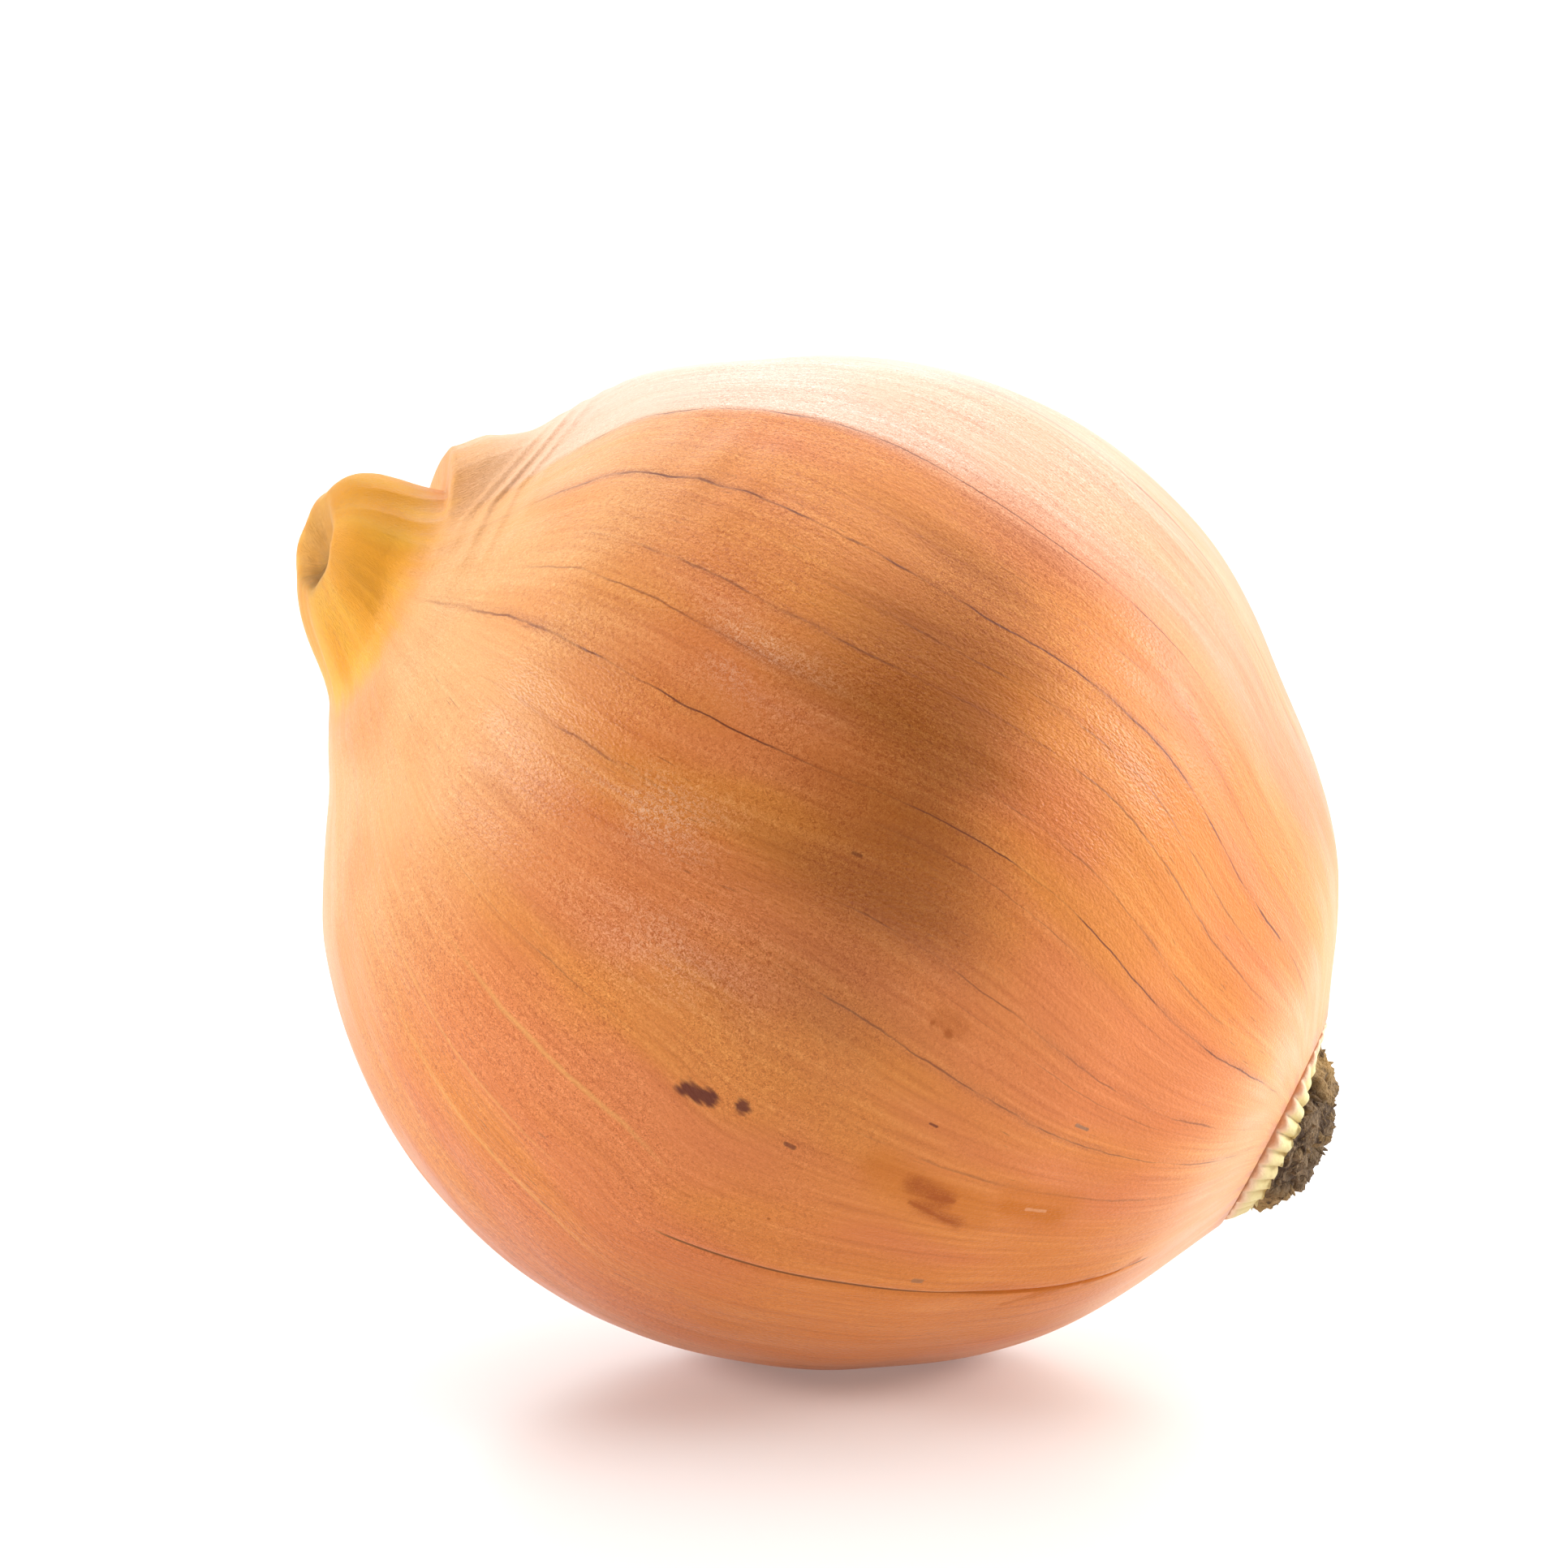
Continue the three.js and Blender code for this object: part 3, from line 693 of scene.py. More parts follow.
def colour_values(height, angles, lying, fibre):
    """Where the skin is redder, paler, browner (partly painted shade), calmer, rubbed, dashed and
    rough, and where a painted highlight and painted sheen lie.
    """
    drift = ramp(-0.6, 0.6, cloud(fibre, 9, 3, octaves=3))
    patchy = mix(0.5, 1, ramp(-0.9, 0.3, cloud(lying / MM, 11, seed=5)))
    pale = ramp(*PALE_TO_NECK, height) * patchy
    rubbed = mix(0.45, 1, ramp(-0.8, 0.4, cloud(lying / MM, 9, octaves=3)))
    # Painted sheen where a lamp shines off the skin.
    painted_sheen = sum(
        share * bump(wrap(angles[None, :] - math.radians(around)), 0, math.radians(wide))
        * bump(height, level, long)
        for around, wide, level, long, share in SHEEN_PLACES
    )
    return {
        "drift": drift * (1 - 0.75 * ramp(16, 34, height)),
        "pale": np.maximum(pale, ROOTS_PALENESS * ramp(*PALE_TO_ROOTS, height)),
        "tan_and_shade": tan_and_shade_share(lying, fibre),
        "painted_highlight": painted_highlight_share(angles[None, :], height),
        "calm": 1 - 0.6 * ramp(*CALM_TO_NECK, height),
        "patch": rubbed * mix(0.3, 1, ramp(*RUBBED_TO_NECK, height)),
        "painted_sheen": painted_sheen * ramp(-0.6, 0.5, cloud(fibre, 2.5, 3, seed=12)),
        "dash": ramp(0, 0.5, cloud(fibre, 7, 2, seed=9)),
        "rough": mix(*ROUGHNESS, ramp(-0.6, 0.6, cloud(fibre, 3, 3, seed=2))),
    }


def end_values(radius, height, lying, fibre):
    """Where the neck is amber, partly painted glow of light through its thin skin, and dented, and
    where the skin's edge at the roots is rosy.
    """
    near_edge = bump(height, SKIN_END, ROSY_WIDTH) * (radius < SKIN_EDGE + 2)
    beside = (lying[..., 0] - lying[..., 2] - (lying[-1, :, 0] - lying[-1, :, 2]).mean()) / MM
    return {
        "amber": ramp(*AMBER_GLOW_TO_NECK, height + 0.5 * cloud(fibre, 4, 1, seed=3)),
        "strip": ramp(-0.5, 0.5, cloud(fibre, 14, 0.6, seed=7)),
        "rosy": near_edge * ramp(-0.5, 0.5, cloud(fibre, 3, 1, seed=6)),
        "tip": ramp(*DENT_RADII, radius) * ramp(*DENT_FROM, height),
        "olive": ramp(-1.4, 1.2, beside + 0.5 * cloud(fibre, 1, 1, seed=8)),
    }


def painted_highlight_share(angle, height):
    """Painted highlight: how pale the skin is above the sharp rib, where the top lamp shines off
    it: a clear edge that softens to the roots.
    """
    reach = mix(*HIGHLIGHT_EDGE, ramp(20, -24, height))
    past = np.degrees(wrap(angle - SHARP_RIB))
    share = ramp(0, 1, (past + 0.4 * reach) / reach) * ramp(150, 90, past)
    return share * ramp(-40, 30, height) * ramp(40, 32, height)


def stain_share(stains, lying, places):
    """How strong the soft stains are at each corner, from lines between places on the skin."""
    share = np.zeros(lying.shape[:-1])
    for *line, width, strength in stains:
        start, end = (np.array(places(*line[i:i + 2])) for i in (0, 2))
        along = np.clip((lying / MM - start) @ (end - start) / ((end - start) ** 2).sum(), 0, 1)
        away = np.linalg.norm(lying / MM - start - along[..., None] * (end - start), axis=-1)
        share = np.maximum(share, strength * (1 - ramp(STAIN_CORE * width, width, away)))
    return share


def skin_place(points, lying, angle, height):
    """The corner nearest to an angle in degrees and a height, in lying millimetres."""
    turned = wrap(np.arctan2(points[..., 1], points[..., 0]) - math.radians(angle))
    off = np.hypot(turned * BULB_RADIUS, points[..., 2] - height)
    return Vector(lying.reshape(-1, 3)[off.argmin()]) / MM


# --- Materials ---


class Graph:
    """The nodes of a material or a world: each call adds one and gives its result."""

    def __init__(self, owner):
        owner.use_nodes = True
        self.owner, self.tree = owner, owner.node_tree
        self.shader = self.tree.nodes.get("Principled BSDF")

    def put(self, socket, value):
        if isinstance(value, bpy.types.NodeSocket):
            self.tree.links.new(value, socket)
        else:
            socket.default_value = value

    def node(self, kind, *values, result=None, **settings):
        """A node with these settings, its sockets in use filled in turn; the first result."""
        node = self.tree.nodes.new("ShaderNode" + kind)
        for name, value in settings.items():
            setattr(node, name, value)
        for socket, value in zip([i for i in node.inputs if i.enabled], values):
            self.put(socket, value)
        return node.outputs[result] if result else next(o for o in node.outputs if o.enabled)

    def attribute(self, name, result="Fac"):
        return self.node("Attribute", attribute_name=name, result=result)

    def phase(self):
        return self.node("SeparateXYZ", self.node("UVMap", uv_map="veins"))

    def math(self, operation, *values, **settings):
        return self.node("Math", *values, operation=operation, **settings)

    def times(self, a, b):
        return self.math("MULTIPLY", a, b)

    def vector(self, operation, *values):
        return self.node("VectorMath", *values, operation=operation)

    def place(self):
        """The surface's own place in millimetres."""
        return self.vector("MULTIPLY", self.node("TexCoord", result="Object"), (1 / MM,) * 3)

    def noise(self, vector, size, detail=2, roughness=0.5, stretch=(1, 1, 1), distortion=0):
        """Noise about size millimetres across, longer along an axis by its stretch."""
        scaled = self.vector("MULTIPLY", vector, tuple(1 / (size * s) for s in stretch))
        return self.node("TexNoise", scaled, 1, detail, roughness, LACUNARITY, distortion)

    def ramp(self, x, start, end, low=0.0, high=1.0):
        """low where x is at start or before, high at end and after, smooth between."""
        return self.node("MapRange", x, start, end, low, high, interpolation_type="SMOOTHSTEP")

    def mix(self, share, a, b, blend="MIX"):
        a, b = ((*c, 1) if isinstance(c, tuple) else c for c in (a, b))
        return self.node("Mix", share, a, b, data_type="RGBA", blend_type=blend)

    def mark(self, place, start, end, width, ragged, strength):
        """The strength within about width of the line from start to end, with a ragged edge."""
        line = end - start
        if line.length > SHORT_MARK * width:
            line_share = tuple(line / line.length_squared)
            along = self.vector("DOT_PRODUCT", place, line_share)
            from_start = start.dot(Vector(line_share))
            along = self.math("SUBTRACT", along, from_start, use_clamp=True)
            nearest = self.vector("MULTIPLY_ADD", along, tuple(line), tuple(start))
        else:
            nearest = tuple((start + end) / 2)
        away = self.vector("DISTANCE", place, nearest)
        away = self.math("MULTIPLY_ADD", ragged, width, away)
        return self.ramp(away, width, MARK_CORE * width, 0.0, strength)

    def bump(self, height):
        """A normal from a height in millimetres."""
        normal = self.node("Bump")
        self.put(normal.node.inputs["Distance"], MM)
        self.put(normal.node.inputs["Height"], height)
        return normal


# Colours, as linear light.
ORANGE = (0.78, 0.255, 0.045)
TERRACOTTA = (0.76, 0.225, 0.06)
# Partly the skin's own tan, partly painted shade on the front, which faces away from the lamps.
TAN_AND_SHADE = (0.43, 0.122, 0.02)
PALE_SKIN = (0.90, 0.445, 0.165)
# The neck's amber: partly its own colour, partly painted glow of the back light shining through its
# thin skin.
AMBER_AND_GLOW = (1.0, 0.48, 0.045)
DEEP_AMBER_AND_GLOW = (0.97, 0.40, 0.022)
CREAM = (0.96, 0.46, 0.08)
OLIVE = (0.44, 0.20, 0.016)
VEIN = (0.20, 0.052, 0.02)
SMUDGE = (0.44, 0.14, 0.055)
STREAK = (0.84, 0.40, 0.11)
MOTTLE_LIGHT = (1.2, 1.45, 1.8)  # times the ground colour
MOTTLE_DARK = (0.72, 0.56, 0.5)
# A pink tone: the knobs' blush, and the painted highlight and painted sheen on the skin.
PINK_SKIN_AND_SHEEN = (0.95, 0.62, 0.45)
SPLIT_AMBER = (0.64, 0.17, 0.0)
# Painted shade inside the narrow split, darkening the amber within.
SPLIT_SHADE_BROWN = (0.24, 0.08, 0.01)
SPOT = (0.13, 0.016, 0.003)
RUST = (0.44, 0.09, 0.0)
OCHRE = (0.64, 0.17, 0.0)
SCUFF = (0.96, 0.56, 0.32)
GREY_MARK = (0.22, 0.14, 0.09)
ROSE = (0.66, 0.25, 0.17)
CRUST_DARK = (0.07, 0.036, 0.015)
CRUST_GREY = (0.23, 0.15, 0.08)
FLAKE = (0.44, 0.27, 0.1)
LIP = (0.45, 0.25, 0.06)
KNOB = (0.86, 0.74, 0.36)
KNOB_SHADE = (0.74, 0.56, 0.24)

# Sizes in the skin's pattern, in millimetres; a pair is from where a line fades in to where
# it is full, as a distance from its middle.
LACUNARITY = 2
FIBRE_SIZE, FIBRE_STRETCH = 0.5, 22
STROKE_SIZE = 0.22
DASH_SIZE, DASH_STRETCH = 0.26, 7
VEIN_WAVER, VEIN_WAVER_SIZE = 0.7, 3.2
VEIN_WIDTH = (0.14, 0.02)
SMUDGE_WIDTH = (0.75, 0.0)
STREAK_WIDTH = (0.4, 0.05)
SPLIT_OPENING = (0.09, 0.42)  # half width, as a hairline and fully open
RAGGED_SIZE, RAGGED_STRETCH = 0.3, 4
SHORT_MARK = 1.3  # length as a share of the width, below which a mark is a round spot
MARK_CORE = 0.35  # share of its width where it is at full strength
STAIN_CORE = 0.25
SUEDE_SIZE, SUEDE_RISE = 0.22, 0.06

# Soft stains: a line from an angle in degrees and a height to another, how wide it reaches
# in millimetres, and its strength.
OCHRE_STAINS = [
    (-112.4, -9.5, -114.4, -18.6, 2.6, 0.5), (-112.4, -20.2, -113.1, -24.4, 1.5, 0.95),
    (-112.2, -20.4, -112.6, -24.4, 3.0, 0.5),
]
RUST_STAINS = [
    (-112.9, -12.4, -113.6, -15.4, 1.3, 0.9), (-115.8, -14.0, -116.6, -17.5, 0.8, 0.8),
    (-94.2, -7.6, -94.2, -8.8, 1.6, 0.4),
]

# Marks on the skin: a line from an angle in degrees and a height to another, how wide it
# reaches, its strength and its colour.
MARKS = [
    # The creases in the neck's dent, drawn as dark olive lines of painted shade.
    (-112.9, 45.3, -101.5, 44.4, 0.3, 0.6, OLIVE), (-101.5, 44.4, -95.2, 43.0, 0.3, 0.6, OLIVE),
    # Dark spots in front.
    (-114.9, 5.7, -114.2, 4.2, 1.0, 0.95, SPOT), (-113.6, 2.0, -113.2, 1.5, 0.85, 0.9, SPOT),
    (-114.6, -2.2, -114.6, -2.8, 0.3, 0.7, SPOT), (-105.6, -11.0, -105.6, -11.4, 0.16, 0.8, SPOT),
    (-83.1, 4.8, -83.1, 4.4, 0.2, 0.6, SPOT),
    # Rusty flecks, most of them in the stain.
    (-94.8, -6.6, -94.8, -7.0, 0.32, 0.6, RUST), (-94.6, -7.8, -94.7, -8.4, 0.55, 0.75, RUST),
    (-125.3, -4.7, -125.3, -5.1, 0.2, 0.8, RUST), (-113.6, -14.4, -113.8, -15.8, 0.4, 0.7, RUST),
    (-115.4, -13.4, -116.4, -17.2, 0.25, 0.7, RUST),
    # A pale slit and two grey specks.
    (-112.6, -22.1, -112.6, -23.5, 0.22, 0.35, SCUFF),
    (-98.6, -21.5, -98.6, -22.5, 0.2, 0.7, GREY_MARK),
    (-127.2, -17.7, -127.2, -18.1, 0.3, 0.5, GREY_MARK),
    # The amber edge of the open split.
    (-133.0, -26.0, -130.0, -28.4, 0.4, 0.9, SPLIT_AMBER),
    (-130.6, -27.8, -127.1, -30.8, 0.8, 1.0, SPLIT_AMBER),
    (-128.6, -31.2, -125.1, -34.1, 0.6, 1.0, SPLIT_AMBER),
]


def ground_colour(g):
    """Orange and terracotta drifts, paler to both ends; a painted highlight above the sharp rib; a
    tan patch that is partly painted shade.
    """
    colour = g.mix(g.attribute("drift"), ORANGE, TERRACOTTA)
    colour = g.mix(g.attribute("pale"), colour, PALE_SKIN)
    # Painted highlight above the sharp rib.
    colour = g.mix(g.times(g.attribute("painted_highlight"), 0.8), colour, PINK_SKIN_AND_SHEEN)
    # The tan patch in front: partly its own tan, partly painted shade.
    return g.mix(g.attribute("tan_and_shade"), colour, TAN_AND_SHADE)


def with_fibres(g, colour, fibre, strokes):
    """Fine fibres along the bulb, a suede-like mottle of curled strokes, painted sheen and dashes.
    """
    lines = g.noise(fibre, FIBRE_SIZE, detail=1, stretch=(1, 1, FIBRE_STRETCH))
    calm = g.attribute("calm")
    patch = g.times(g.attribute("patch"), calm)
    for share, tint in (
        (g.times(g.ramp(lines, 0.52, 0.72, 0, 0.3), calm), MOTTLE_DARK),
        (g.times(g.ramp(lines, 0.48, 0.3, 0, 0.3), calm), MOTTLE_LIGHT),
        (g.times(g.ramp(strokes, 0.5, 0.68), patch), MOTTLE_DARK),
        (g.times(g.ramp(strokes, 0.5, 0.32), patch), MOTTLE_LIGHT),
    ):
        colour = g.mix(share, colour, tint, "MULTIPLY")
    # Painted sheen: pale strokes where a lamp shines off the skin.
    painted_sheen = g.times(g.attribute("painted_sheen"), g.ramp(strokes, 0.56, 0.36))
    colour = g.mix(painted_sheen, colour, PINK_SKIN_AND_SHEEN)
    dashes = g.noise(fibre, DASH_SIZE, detail=0, stretch=(1, 1, DASH_STRETCH))
    dashes = g.ramp(dashes, 0.74, 0.86, 0, 0.4)
    return g.mix(g.times(dashes, g.attribute("dash")), colour, VEIN)


def with_veins(g, colour, fibre, strokes):
    """A thin line on each whole count of the phase, wavering and broken, with a soft smudge."""
    gap = g.attribute("gap")
    waver = g.noise(fibre, VEIN_WAVER_SIZE, detail=3, roughness=0.6, stretch=(1, 1, 1.2))
    waver = g.times(g.math("SUBTRACT", waver, 0.5), VEIN_WAVER)
    count = g.math("ADD", g.phase(), g.math("DIVIDE", waver, gap))
    part = g.math("FRACT", g.math("ADD", count, 0.5))
    off = g.times(g.math("ABSOLUTE", g.math("SUBTRACT", part, 0.5)), gap)
    broken = g.noise(fibre, 1.2, detail=0, stretch=(1, 1, 3))
    line = g.times(g.ramp(off, *VEIN_WIDTH), g.attribute("vein"))
    line = g.times(line, g.ramp(broken, 0.35, 0.6, 0.25, 1.0))
    smudge = g.times(g.ramp(off, *SMUDGE_WIDTH, 0, 0.6), g.attribute("smudge"))
    smudge = g.times(smudge, g.ramp(strokes, 0.35, 0.6, 0.35, 1.0))
    streak = g.times(g.ramp(off, *STREAK_WIDTH), g.attribute("streak"))
    colour = g.mix(smudge, colour, SMUDGE)
    colour = g.mix(streak, colour, STREAK)
    return g.mix(line, colour, VEIN)


def with_marks(g, colour, place, fibre, strokes, marks):
    """The rosy edge at the roots, then stains, spots and scuffs."""
    colour = g.mix(g.times(g.attribute("rosy"), 0.6), colour, ROSE)
    colour = g.mix(g.attribute("ochre"), colour, OCHRE)
    rust = g.times(g.attribute("rust"), g.ramp(strokes, 0.3, 0.6, 0.6))
    colour = g.mix(rust, colour, RUST)
    ragged = g.noise(fibre, RAGGED_SIZE, detail=1, roughness=0.6, stretch=(1, 1, RAGGED_STRETCH))
    ragged = g.math("SUBTRACT", ragged, 0.5)
    for start, end, width, strength, tint in marks:
        colour = g.mix(g.mark(place, start, end, width, ragged, strength), colour, tint)
    return colour


def with_neck(g, colour):
    """The neck's amber, deeper in long strips, partly its own colour and partly painted glow of
    light through its thin skin; and the dent in its tip.
    """
    amber = g.mix(g.attribute("strip"), AMBER_AND_GLOW, DEEP_AMBER_AND_GLOW)
    colour = g.mix(g.attribute("amber"), colour, amber)
    dent = g.mix(g.attribute("olive"), CREAM, OLIVE)
    return g.mix(g.attribute("tip"), colour, dent)


def with_split(g, colour):
    """The inside of the split: brown painted shade while it is a hairline, amber where it opens."""
    depth = g.attribute("split")
    opened = g.ramp(depth, 0.45, 1.0, *SPLIT_OPENING)
    inside = g.ramp(g.math("SUBTRACT", g.attribute("split_off"), opened), 0.06, -0.02)
    inside = g.times(inside, g.ramp(depth, 0.0, 0.12))
    deep = g.mix(g.ramp(depth, 0.4, 0.9), SPLIT_SHADE_BROWN, SPLIT_AMBER)
    return g.mix(inside, colour, deep)


def skin_material(marks):
    g = Graph(bpy.data.materials.new("papery_skin"))
    place, fibre = g.place(), g.attribute("fibre", "Vector")
    strokes = g.noise(place, STROKE_SIZE, detail=2, roughness=0.65, distortion=1.5)
    colour = with_fibres(g, ground_colour(g), fibre, strokes)
    colour = with_veins(g, colour, fibre, strokes)
    colour = with_marks(g, colour, place, fibre, strokes, marks)
    colour = with_split(g, with_neck(g, colour))
    g.put(g.shader.inputs["Base Color"], colour)
    suede = g.noise(fibre, SUEDE_SIZE, detail=1, stretch=(1, 1, 1.6))
    g.put(g.shader.inputs["Normal"], g.bump(g.times(suede, SUEDE_RISE)))
    g.put(g.shader.inputs["Roughness"], g.attribute("rough"))
    g.shader.inputs["Specular IOR Level"].default_value = 0.3
    g.shader.inputs["Sheen Weight"].default_value = 0.3
    g.shader.inputs["Sheen Roughness"].default_value = 0.35
    return g.owner


def root_material():
    """Pale knobs and a dark flaky crust; crust is 0 on the knobs, 1 on the crust, 2 on stubs."""
    g = Graph(bpy.data.materials.new("dry_root"))
    place = g.place()
    crust = g.attribute("crust")
    coarse = g.noise(place, 1.3, detail=4, roughness=0.6)
    fine = g.noise(place, 0.35, detail=3, roughness=0.6)
    broad = g.noise(place, 4, detail=1)
    dark = g.mix(g.ramp(coarse, 0.42, 0.62), CRUST_DARK, CRUST_GREY)
    dark = g.mix(g.times(g.attribute("rim"), g.ramp(coarse, 0.35, 0.55)), dark, FLAKE)
    dark = g.mix(g.ramp(fine, 0.56, 0.76, 0, 0.7), dark, FLAKE)
    stub = g.mix(g.ramp(broad, 0.4, 0.6), CRUST_GREY, FLAKE)
    dark = g.mix(g.ramp(crust, 1.1, 1.9, 0, 0.5), dark, stub)
    pale = g.mix(g.attribute("groove"), KNOB, KNOB_SHADE)
    pale = g.mix(g.times(g.attribute("blush"), 0.8), pale, PINK_SKIN_AND_SHEEN)
    ragged = g.math("ADD", crust, g.times(coarse, 0.5))
    pale = g.mix(g.ramp(ragged, 0.55, 0.8), pale, LIP)
    colour = g.mix(g.ramp(ragged, 0.95, 1.1), pale, dark)
    g.put(g.shader.inputs["Base Color"], colour)
    rise = g.times(g.math("ADD", coarse, fine), g.ramp(crust, 0.2, 0.9, 0.1, 0.5))
    g.put(g.shader.inputs["Normal"], g.bump(rise))
    g.put(g.shader.inputs["Roughness"], g.ramp(crust, 0.0, 1.0, 0.55, 0.9))
    return g.owner


# --- The two pieces ---


def make_bulb():
    """Adds the skin and returns how high the part's middle is above what it rests on."""
    rows, angles = bulb_outline(), bulb_columns()
    upright = bulb_points(rows, angles)
    lying_up = np.array([math.cos(AXIS_RISE), 0, math.sin(AXIS_RISE)])
    rest_height = float((-(upright @ lying_up)).max()) - REST_DEPTH
    lying = lay_down(upright, rest_height)
    mesh = mesh_round("onion_skin", lying)
    dress_bulb(mesh, rows, angles, lying)

    def places(angle, height):
        return skin_place(upright, lying, angle, height)

    give_values(mesh, "ochre", stain_share(OCHRE_STAINS, lying, places))
    give_values(mesh, "rust", stain_share(RUST_STAINS, lying, places))
    marks = [(places(*mark[:2]), places(*mark[2:4]), *mark[4:]) for mark in MARKS]
    add_piece("onion_skin", mesh, "bulb", skin_material(marks))
    return rest_height


def plate_values(rows):
    """What the root plate is drawn from: crust or ring, the grooves between the teeth, blush."""
    across = np.arange(KNOBS * KNOB_COLUMNS) % KNOB_COLUMNS / KNOB_COLUMNS
    between = np.abs(2 * across - 1)[None, :]
    radius, height = rows[:, :1], rows[:, 1:]
    outside = height < SKIN_END - 0.5
    crust = (1 - ramp(CRUST_RADIUS - 0.1, CRUST_RADIUS + 0.6, radius)) * outside
    groove = between**2 * (1 - ramp(CRUST_START, SKIN_END - 0.5, height))
    blush = ramp(SKIN_END - 1.1, SKIN_END - 0.4, height)
    return np.stack(np.broadcast_arrays(crust, groove, blush), axis=-1)


def root_stubs():
    """The corners of the cut roots and of the thinner rootlets between them."""
    stubs = []
    for number in range(STUBS):
        width = STUB_RADIUS * (0.8 + 0.5 * chance(number + 2 * STUBS))
        length = STUB_LENGTH * (0.8 + 0.4 * chance(number + 3 * STUBS))
        stubs.append(stub_points(number, STUBS, width, length))
    for number in range(ROOTLETS):
        width = ROOTLET_RADIUS + 0.15 * chance(number)
        length = ROOTLET_LENGTH + chance(number + 9)
        stubs.append(stub_points(number + 0.5, ROOTLETS, width, length))
    return stubs


def join_rounds(parts):
    """One list of corners, of their values and of faces, from several rounds of corners."""
    corners, values, faces = [], [], []
    for points, shown in parts:
        first = len(corners)
        corners += [*points.reshape(-1, 3), points[0].mean(axis=0), points[-1].mean(axis=0)]
        values += [*shown.reshape(-1, 3), shown[0].mean(axis=0), shown[-1].mean(axis=0)]
        for face in grid_faces(*points.shape[:2]):
            faces.append([first + corner for corner in face])
    return np.array(corners), np.array(values), faces


def make_root_plate(rest_height):
    rows = plate_outline()
    parts = [(plate_points(rows), plate_values(rows))]
    parts += [(points, np.broadcast_to([2.0, 0.0, 0.0], points.shape)) for points in root_stubs()]
    corners, values, faces = join_rounds(parts)
    mesh = bpy.data.meshes.new("onion_roots")
    mesh.from_pydata(lay_down(corners, rest_height).tolist(), [], faces)
    rim = ramp(*RIM_BAND, np.abs(corners[:, 0]))
    for name, share in zip(("crust", "groove", "blush", "rim"), (*values.T, rim)):
        mesh.attributes.new(name, "FLOAT", "POINT").data.foreach_set("value", share.copy())
    mesh.shade_smooth()
    add_piece("onion_roots", mesh, "root_plate", root_material())


# --- Floor, lights and camera ---

FLOOR_SIDE = 14
FLOOR_COLOUR = (0.74, 0.735, 0.73)
FLOOR_GLOW = 0.17
FLOOR_ROUGHNESS = 0.26
WORLD_STRENGTH = 1.8
WORLD_BRIGHT_SIDE = (0.37, 0.68, 0.63)
WORLD_FADE = (0.0, 0.9)
SUN_PLACE = (0.0, 0.1, 0.9)
SUN_SPREAD = math.radians(60)
SUN_STRENGTH = 0.6
LAMP_SIZE = (0.5, 0.24)
LAMP_AIM = (0, 0, 0.04)
LAMPS = [("side_right", (0.80, -0.02, 0.34), 5.6), ("side_left", (-0.80, 0.02, 0.34), 5.2)]


def add_floor():
    half = FLOOR_SIDE / 2
    mesh = bpy.data.meshes.new("floor")
    corners = [(-half, -half, 0), (half, -half, 0), (half, half, 0), (-half, half, 0)]
    mesh.from_pydata(corners, [], [(0, 1, 2, 3)])
    floor = bpy.data.objects.new("floor", mesh)
    bpy.context.scene.collection.objects.link(floor)
    g = Graph(bpy.data.materials.new("floor_white"))
    g.put(g.shader.inputs["Base Color"], (*FLOOR_COLOUR, 1))
    g.put(g.shader.inputs["Roughness"], FLOOR_ROUGHNESS)
    g.put(g.shader.inputs["Emission Strength"], FLOOR_GLOW)
    mesh.materials.append(g.owner)


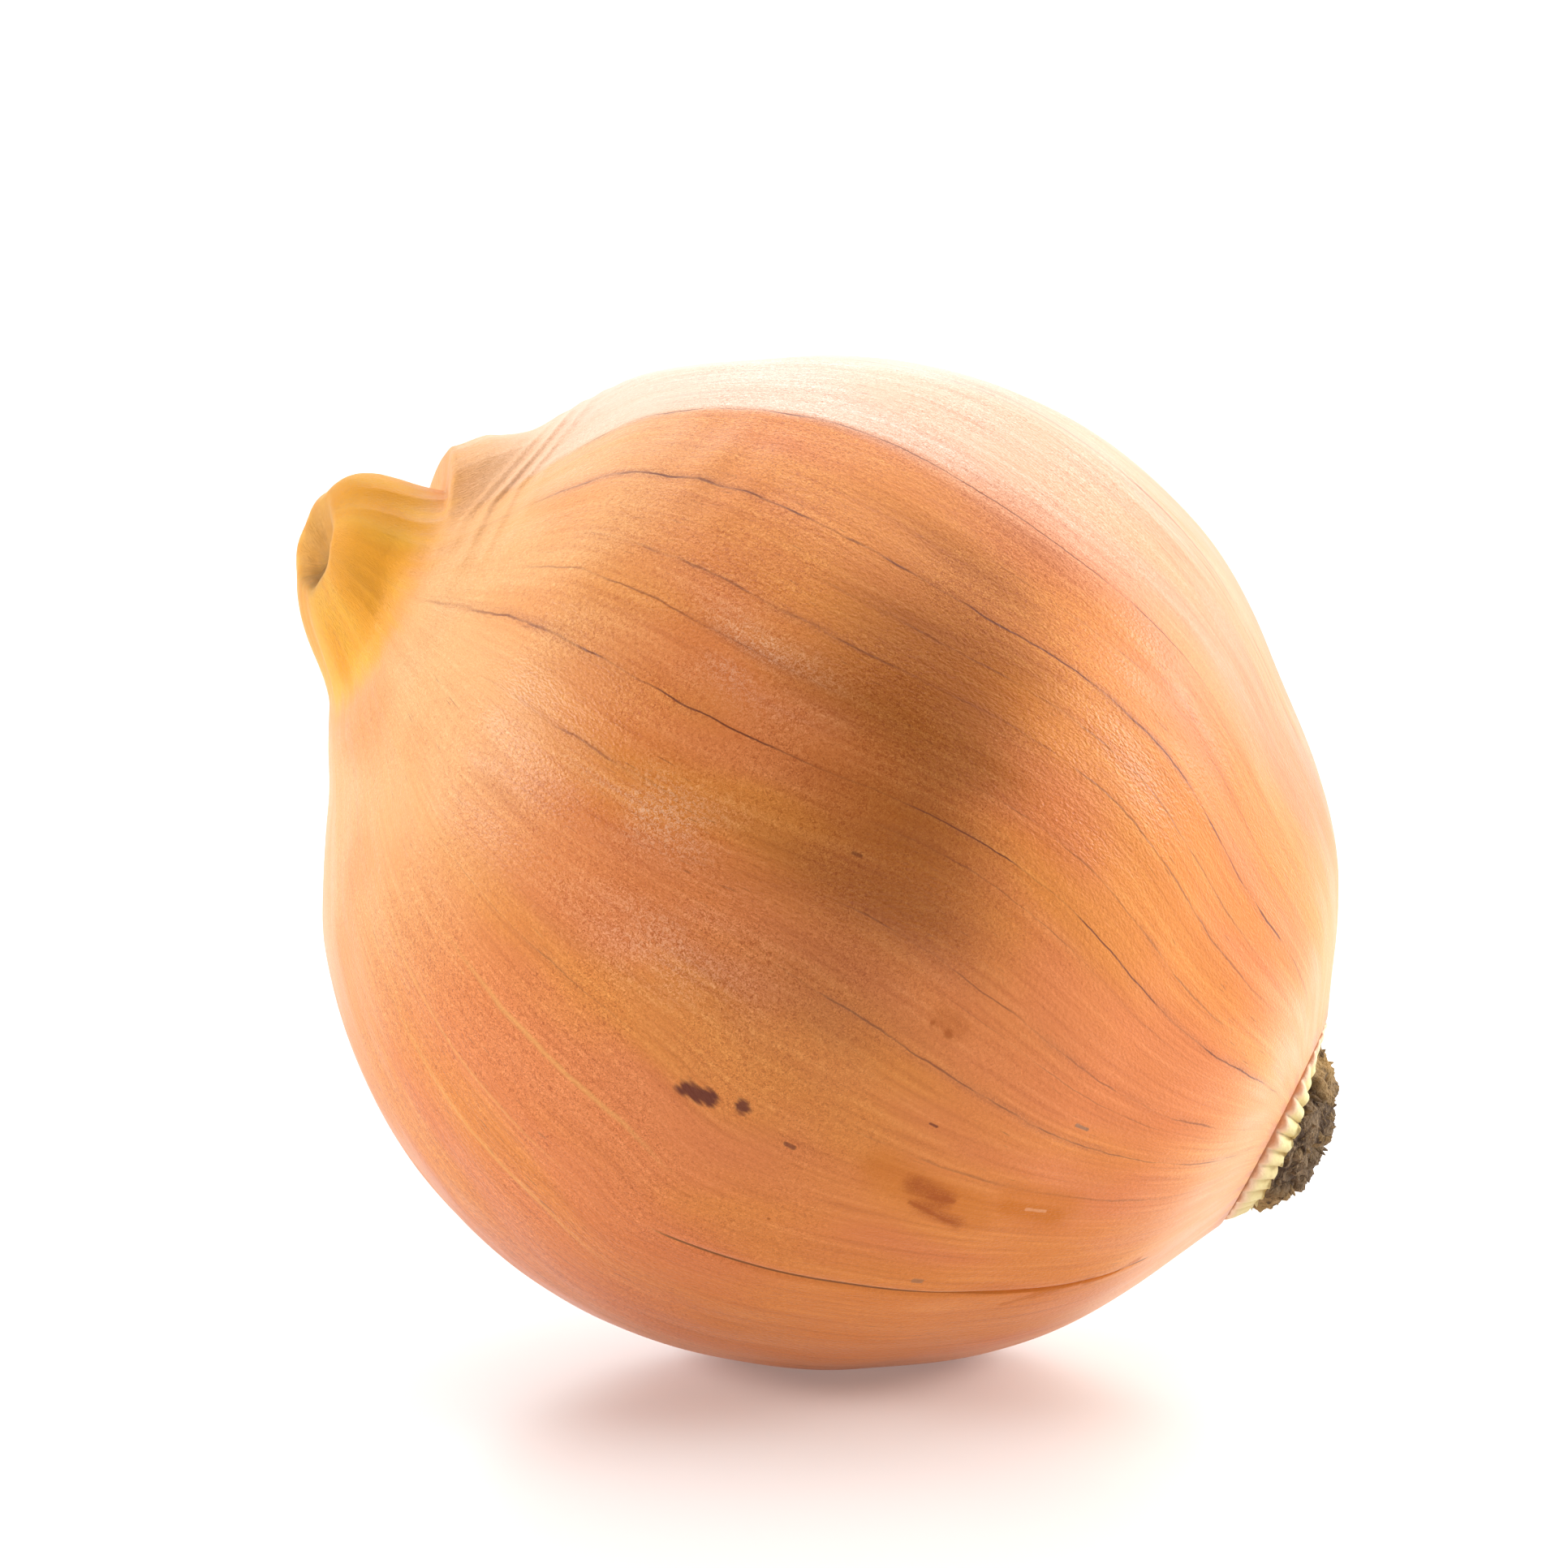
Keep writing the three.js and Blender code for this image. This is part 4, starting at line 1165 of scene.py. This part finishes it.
def add_lamp(name, kind, place, aim, energy, **shape):
    light = bpy.data.lights.new(name, kind)
    light.energy = energy
    for key, value in shape.items():
        setattr(light, key, value)
    lamp = bpy.data.objects.new(name, light)
    lamp.location = place
    lamp.rotation_euler = (Vector(aim) - Vector(place)).to_track_quat("-Z", "Y").to_euler()
    bpy.context.scene.collection.objects.link(lamp)


def add_lights():
    """A soft sun overhead and a wide lamp on either side."""
    add_lamp("overhead", "SUN", SUN_PLACE, (0, 0, 0), SUN_STRENGTH, angle=SUN_SPREAD)
    shape = {"shape": "RECTANGLE", "size": LAMP_SIZE[0], "size_y": LAMP_SIZE[1]}
    for name, place, watts in LAMPS:
        add_lamp(name, "AREA", place, LAMP_AIM, watts, **shape)


def add_world():
    """A white studio: seen as plain white, and giving less light from the front than behind."""
    g = Graph(bpy.data.worlds.new("studio"))
    bpy.context.scene.world = g.owner
    direction = g.node("TexCoord", result="Generated")
    facing = g.vector("DOT_PRODUCT", direction, WORLD_BRIGHT_SIDE)
    light = g.ramp(facing, *WORLD_FADE, 0, WORLD_STRENGTH)
    seen = g.node("LightPath", result="Is Camera Ray")
    background = g.tree.nodes["Background"]
    g.put(background.inputs["Strength"], g.node("Mix", seen, light, 1))
    g.put(background.inputs["Color"], (1, 1, 1, 1))


def add_camera():
    right = Vector((math.cos(AZIMUTH), math.sin(AZIMUTH), 0))
    back = Vector((
        math.sin(AZIMUTH) * math.cos(ELEVATION),
        -math.cos(AZIMUTH) * math.cos(ELEVATION),
        math.sin(ELEVATION),
    ))
    up = back.cross(right)
    half = PHOTO_SIDE / 2
    aim = BULB_MIDDLE + (
        right * (half - BULB_PIXEL[0]) - up * (half - BULB_PIXEL[1])
    ) * MM_PER_PIXEL * MM
    data = bpy.data.cameras.new("camera")
    data.sensor_width = SENSOR
    data.lens = SENSOR * DISTANCE / (PHOTO_SIDE * MM_PER_PIXEL * MM)
    camera = bpy.data.objects.new("camera", data)
    camera.location = aim + back * DISTANCE
    camera.rotation_euler = back.to_track_quat("Z", "Y").to_euler()
    bpy.context.scene.collection.objects.link(camera)
    bpy.context.scene.camera = camera


add_camera()
add_floor()
add_world()
add_lights()
make_root_plate(make_bulb())
bpy.context.scene.view_settings.view_transform = "Standard"
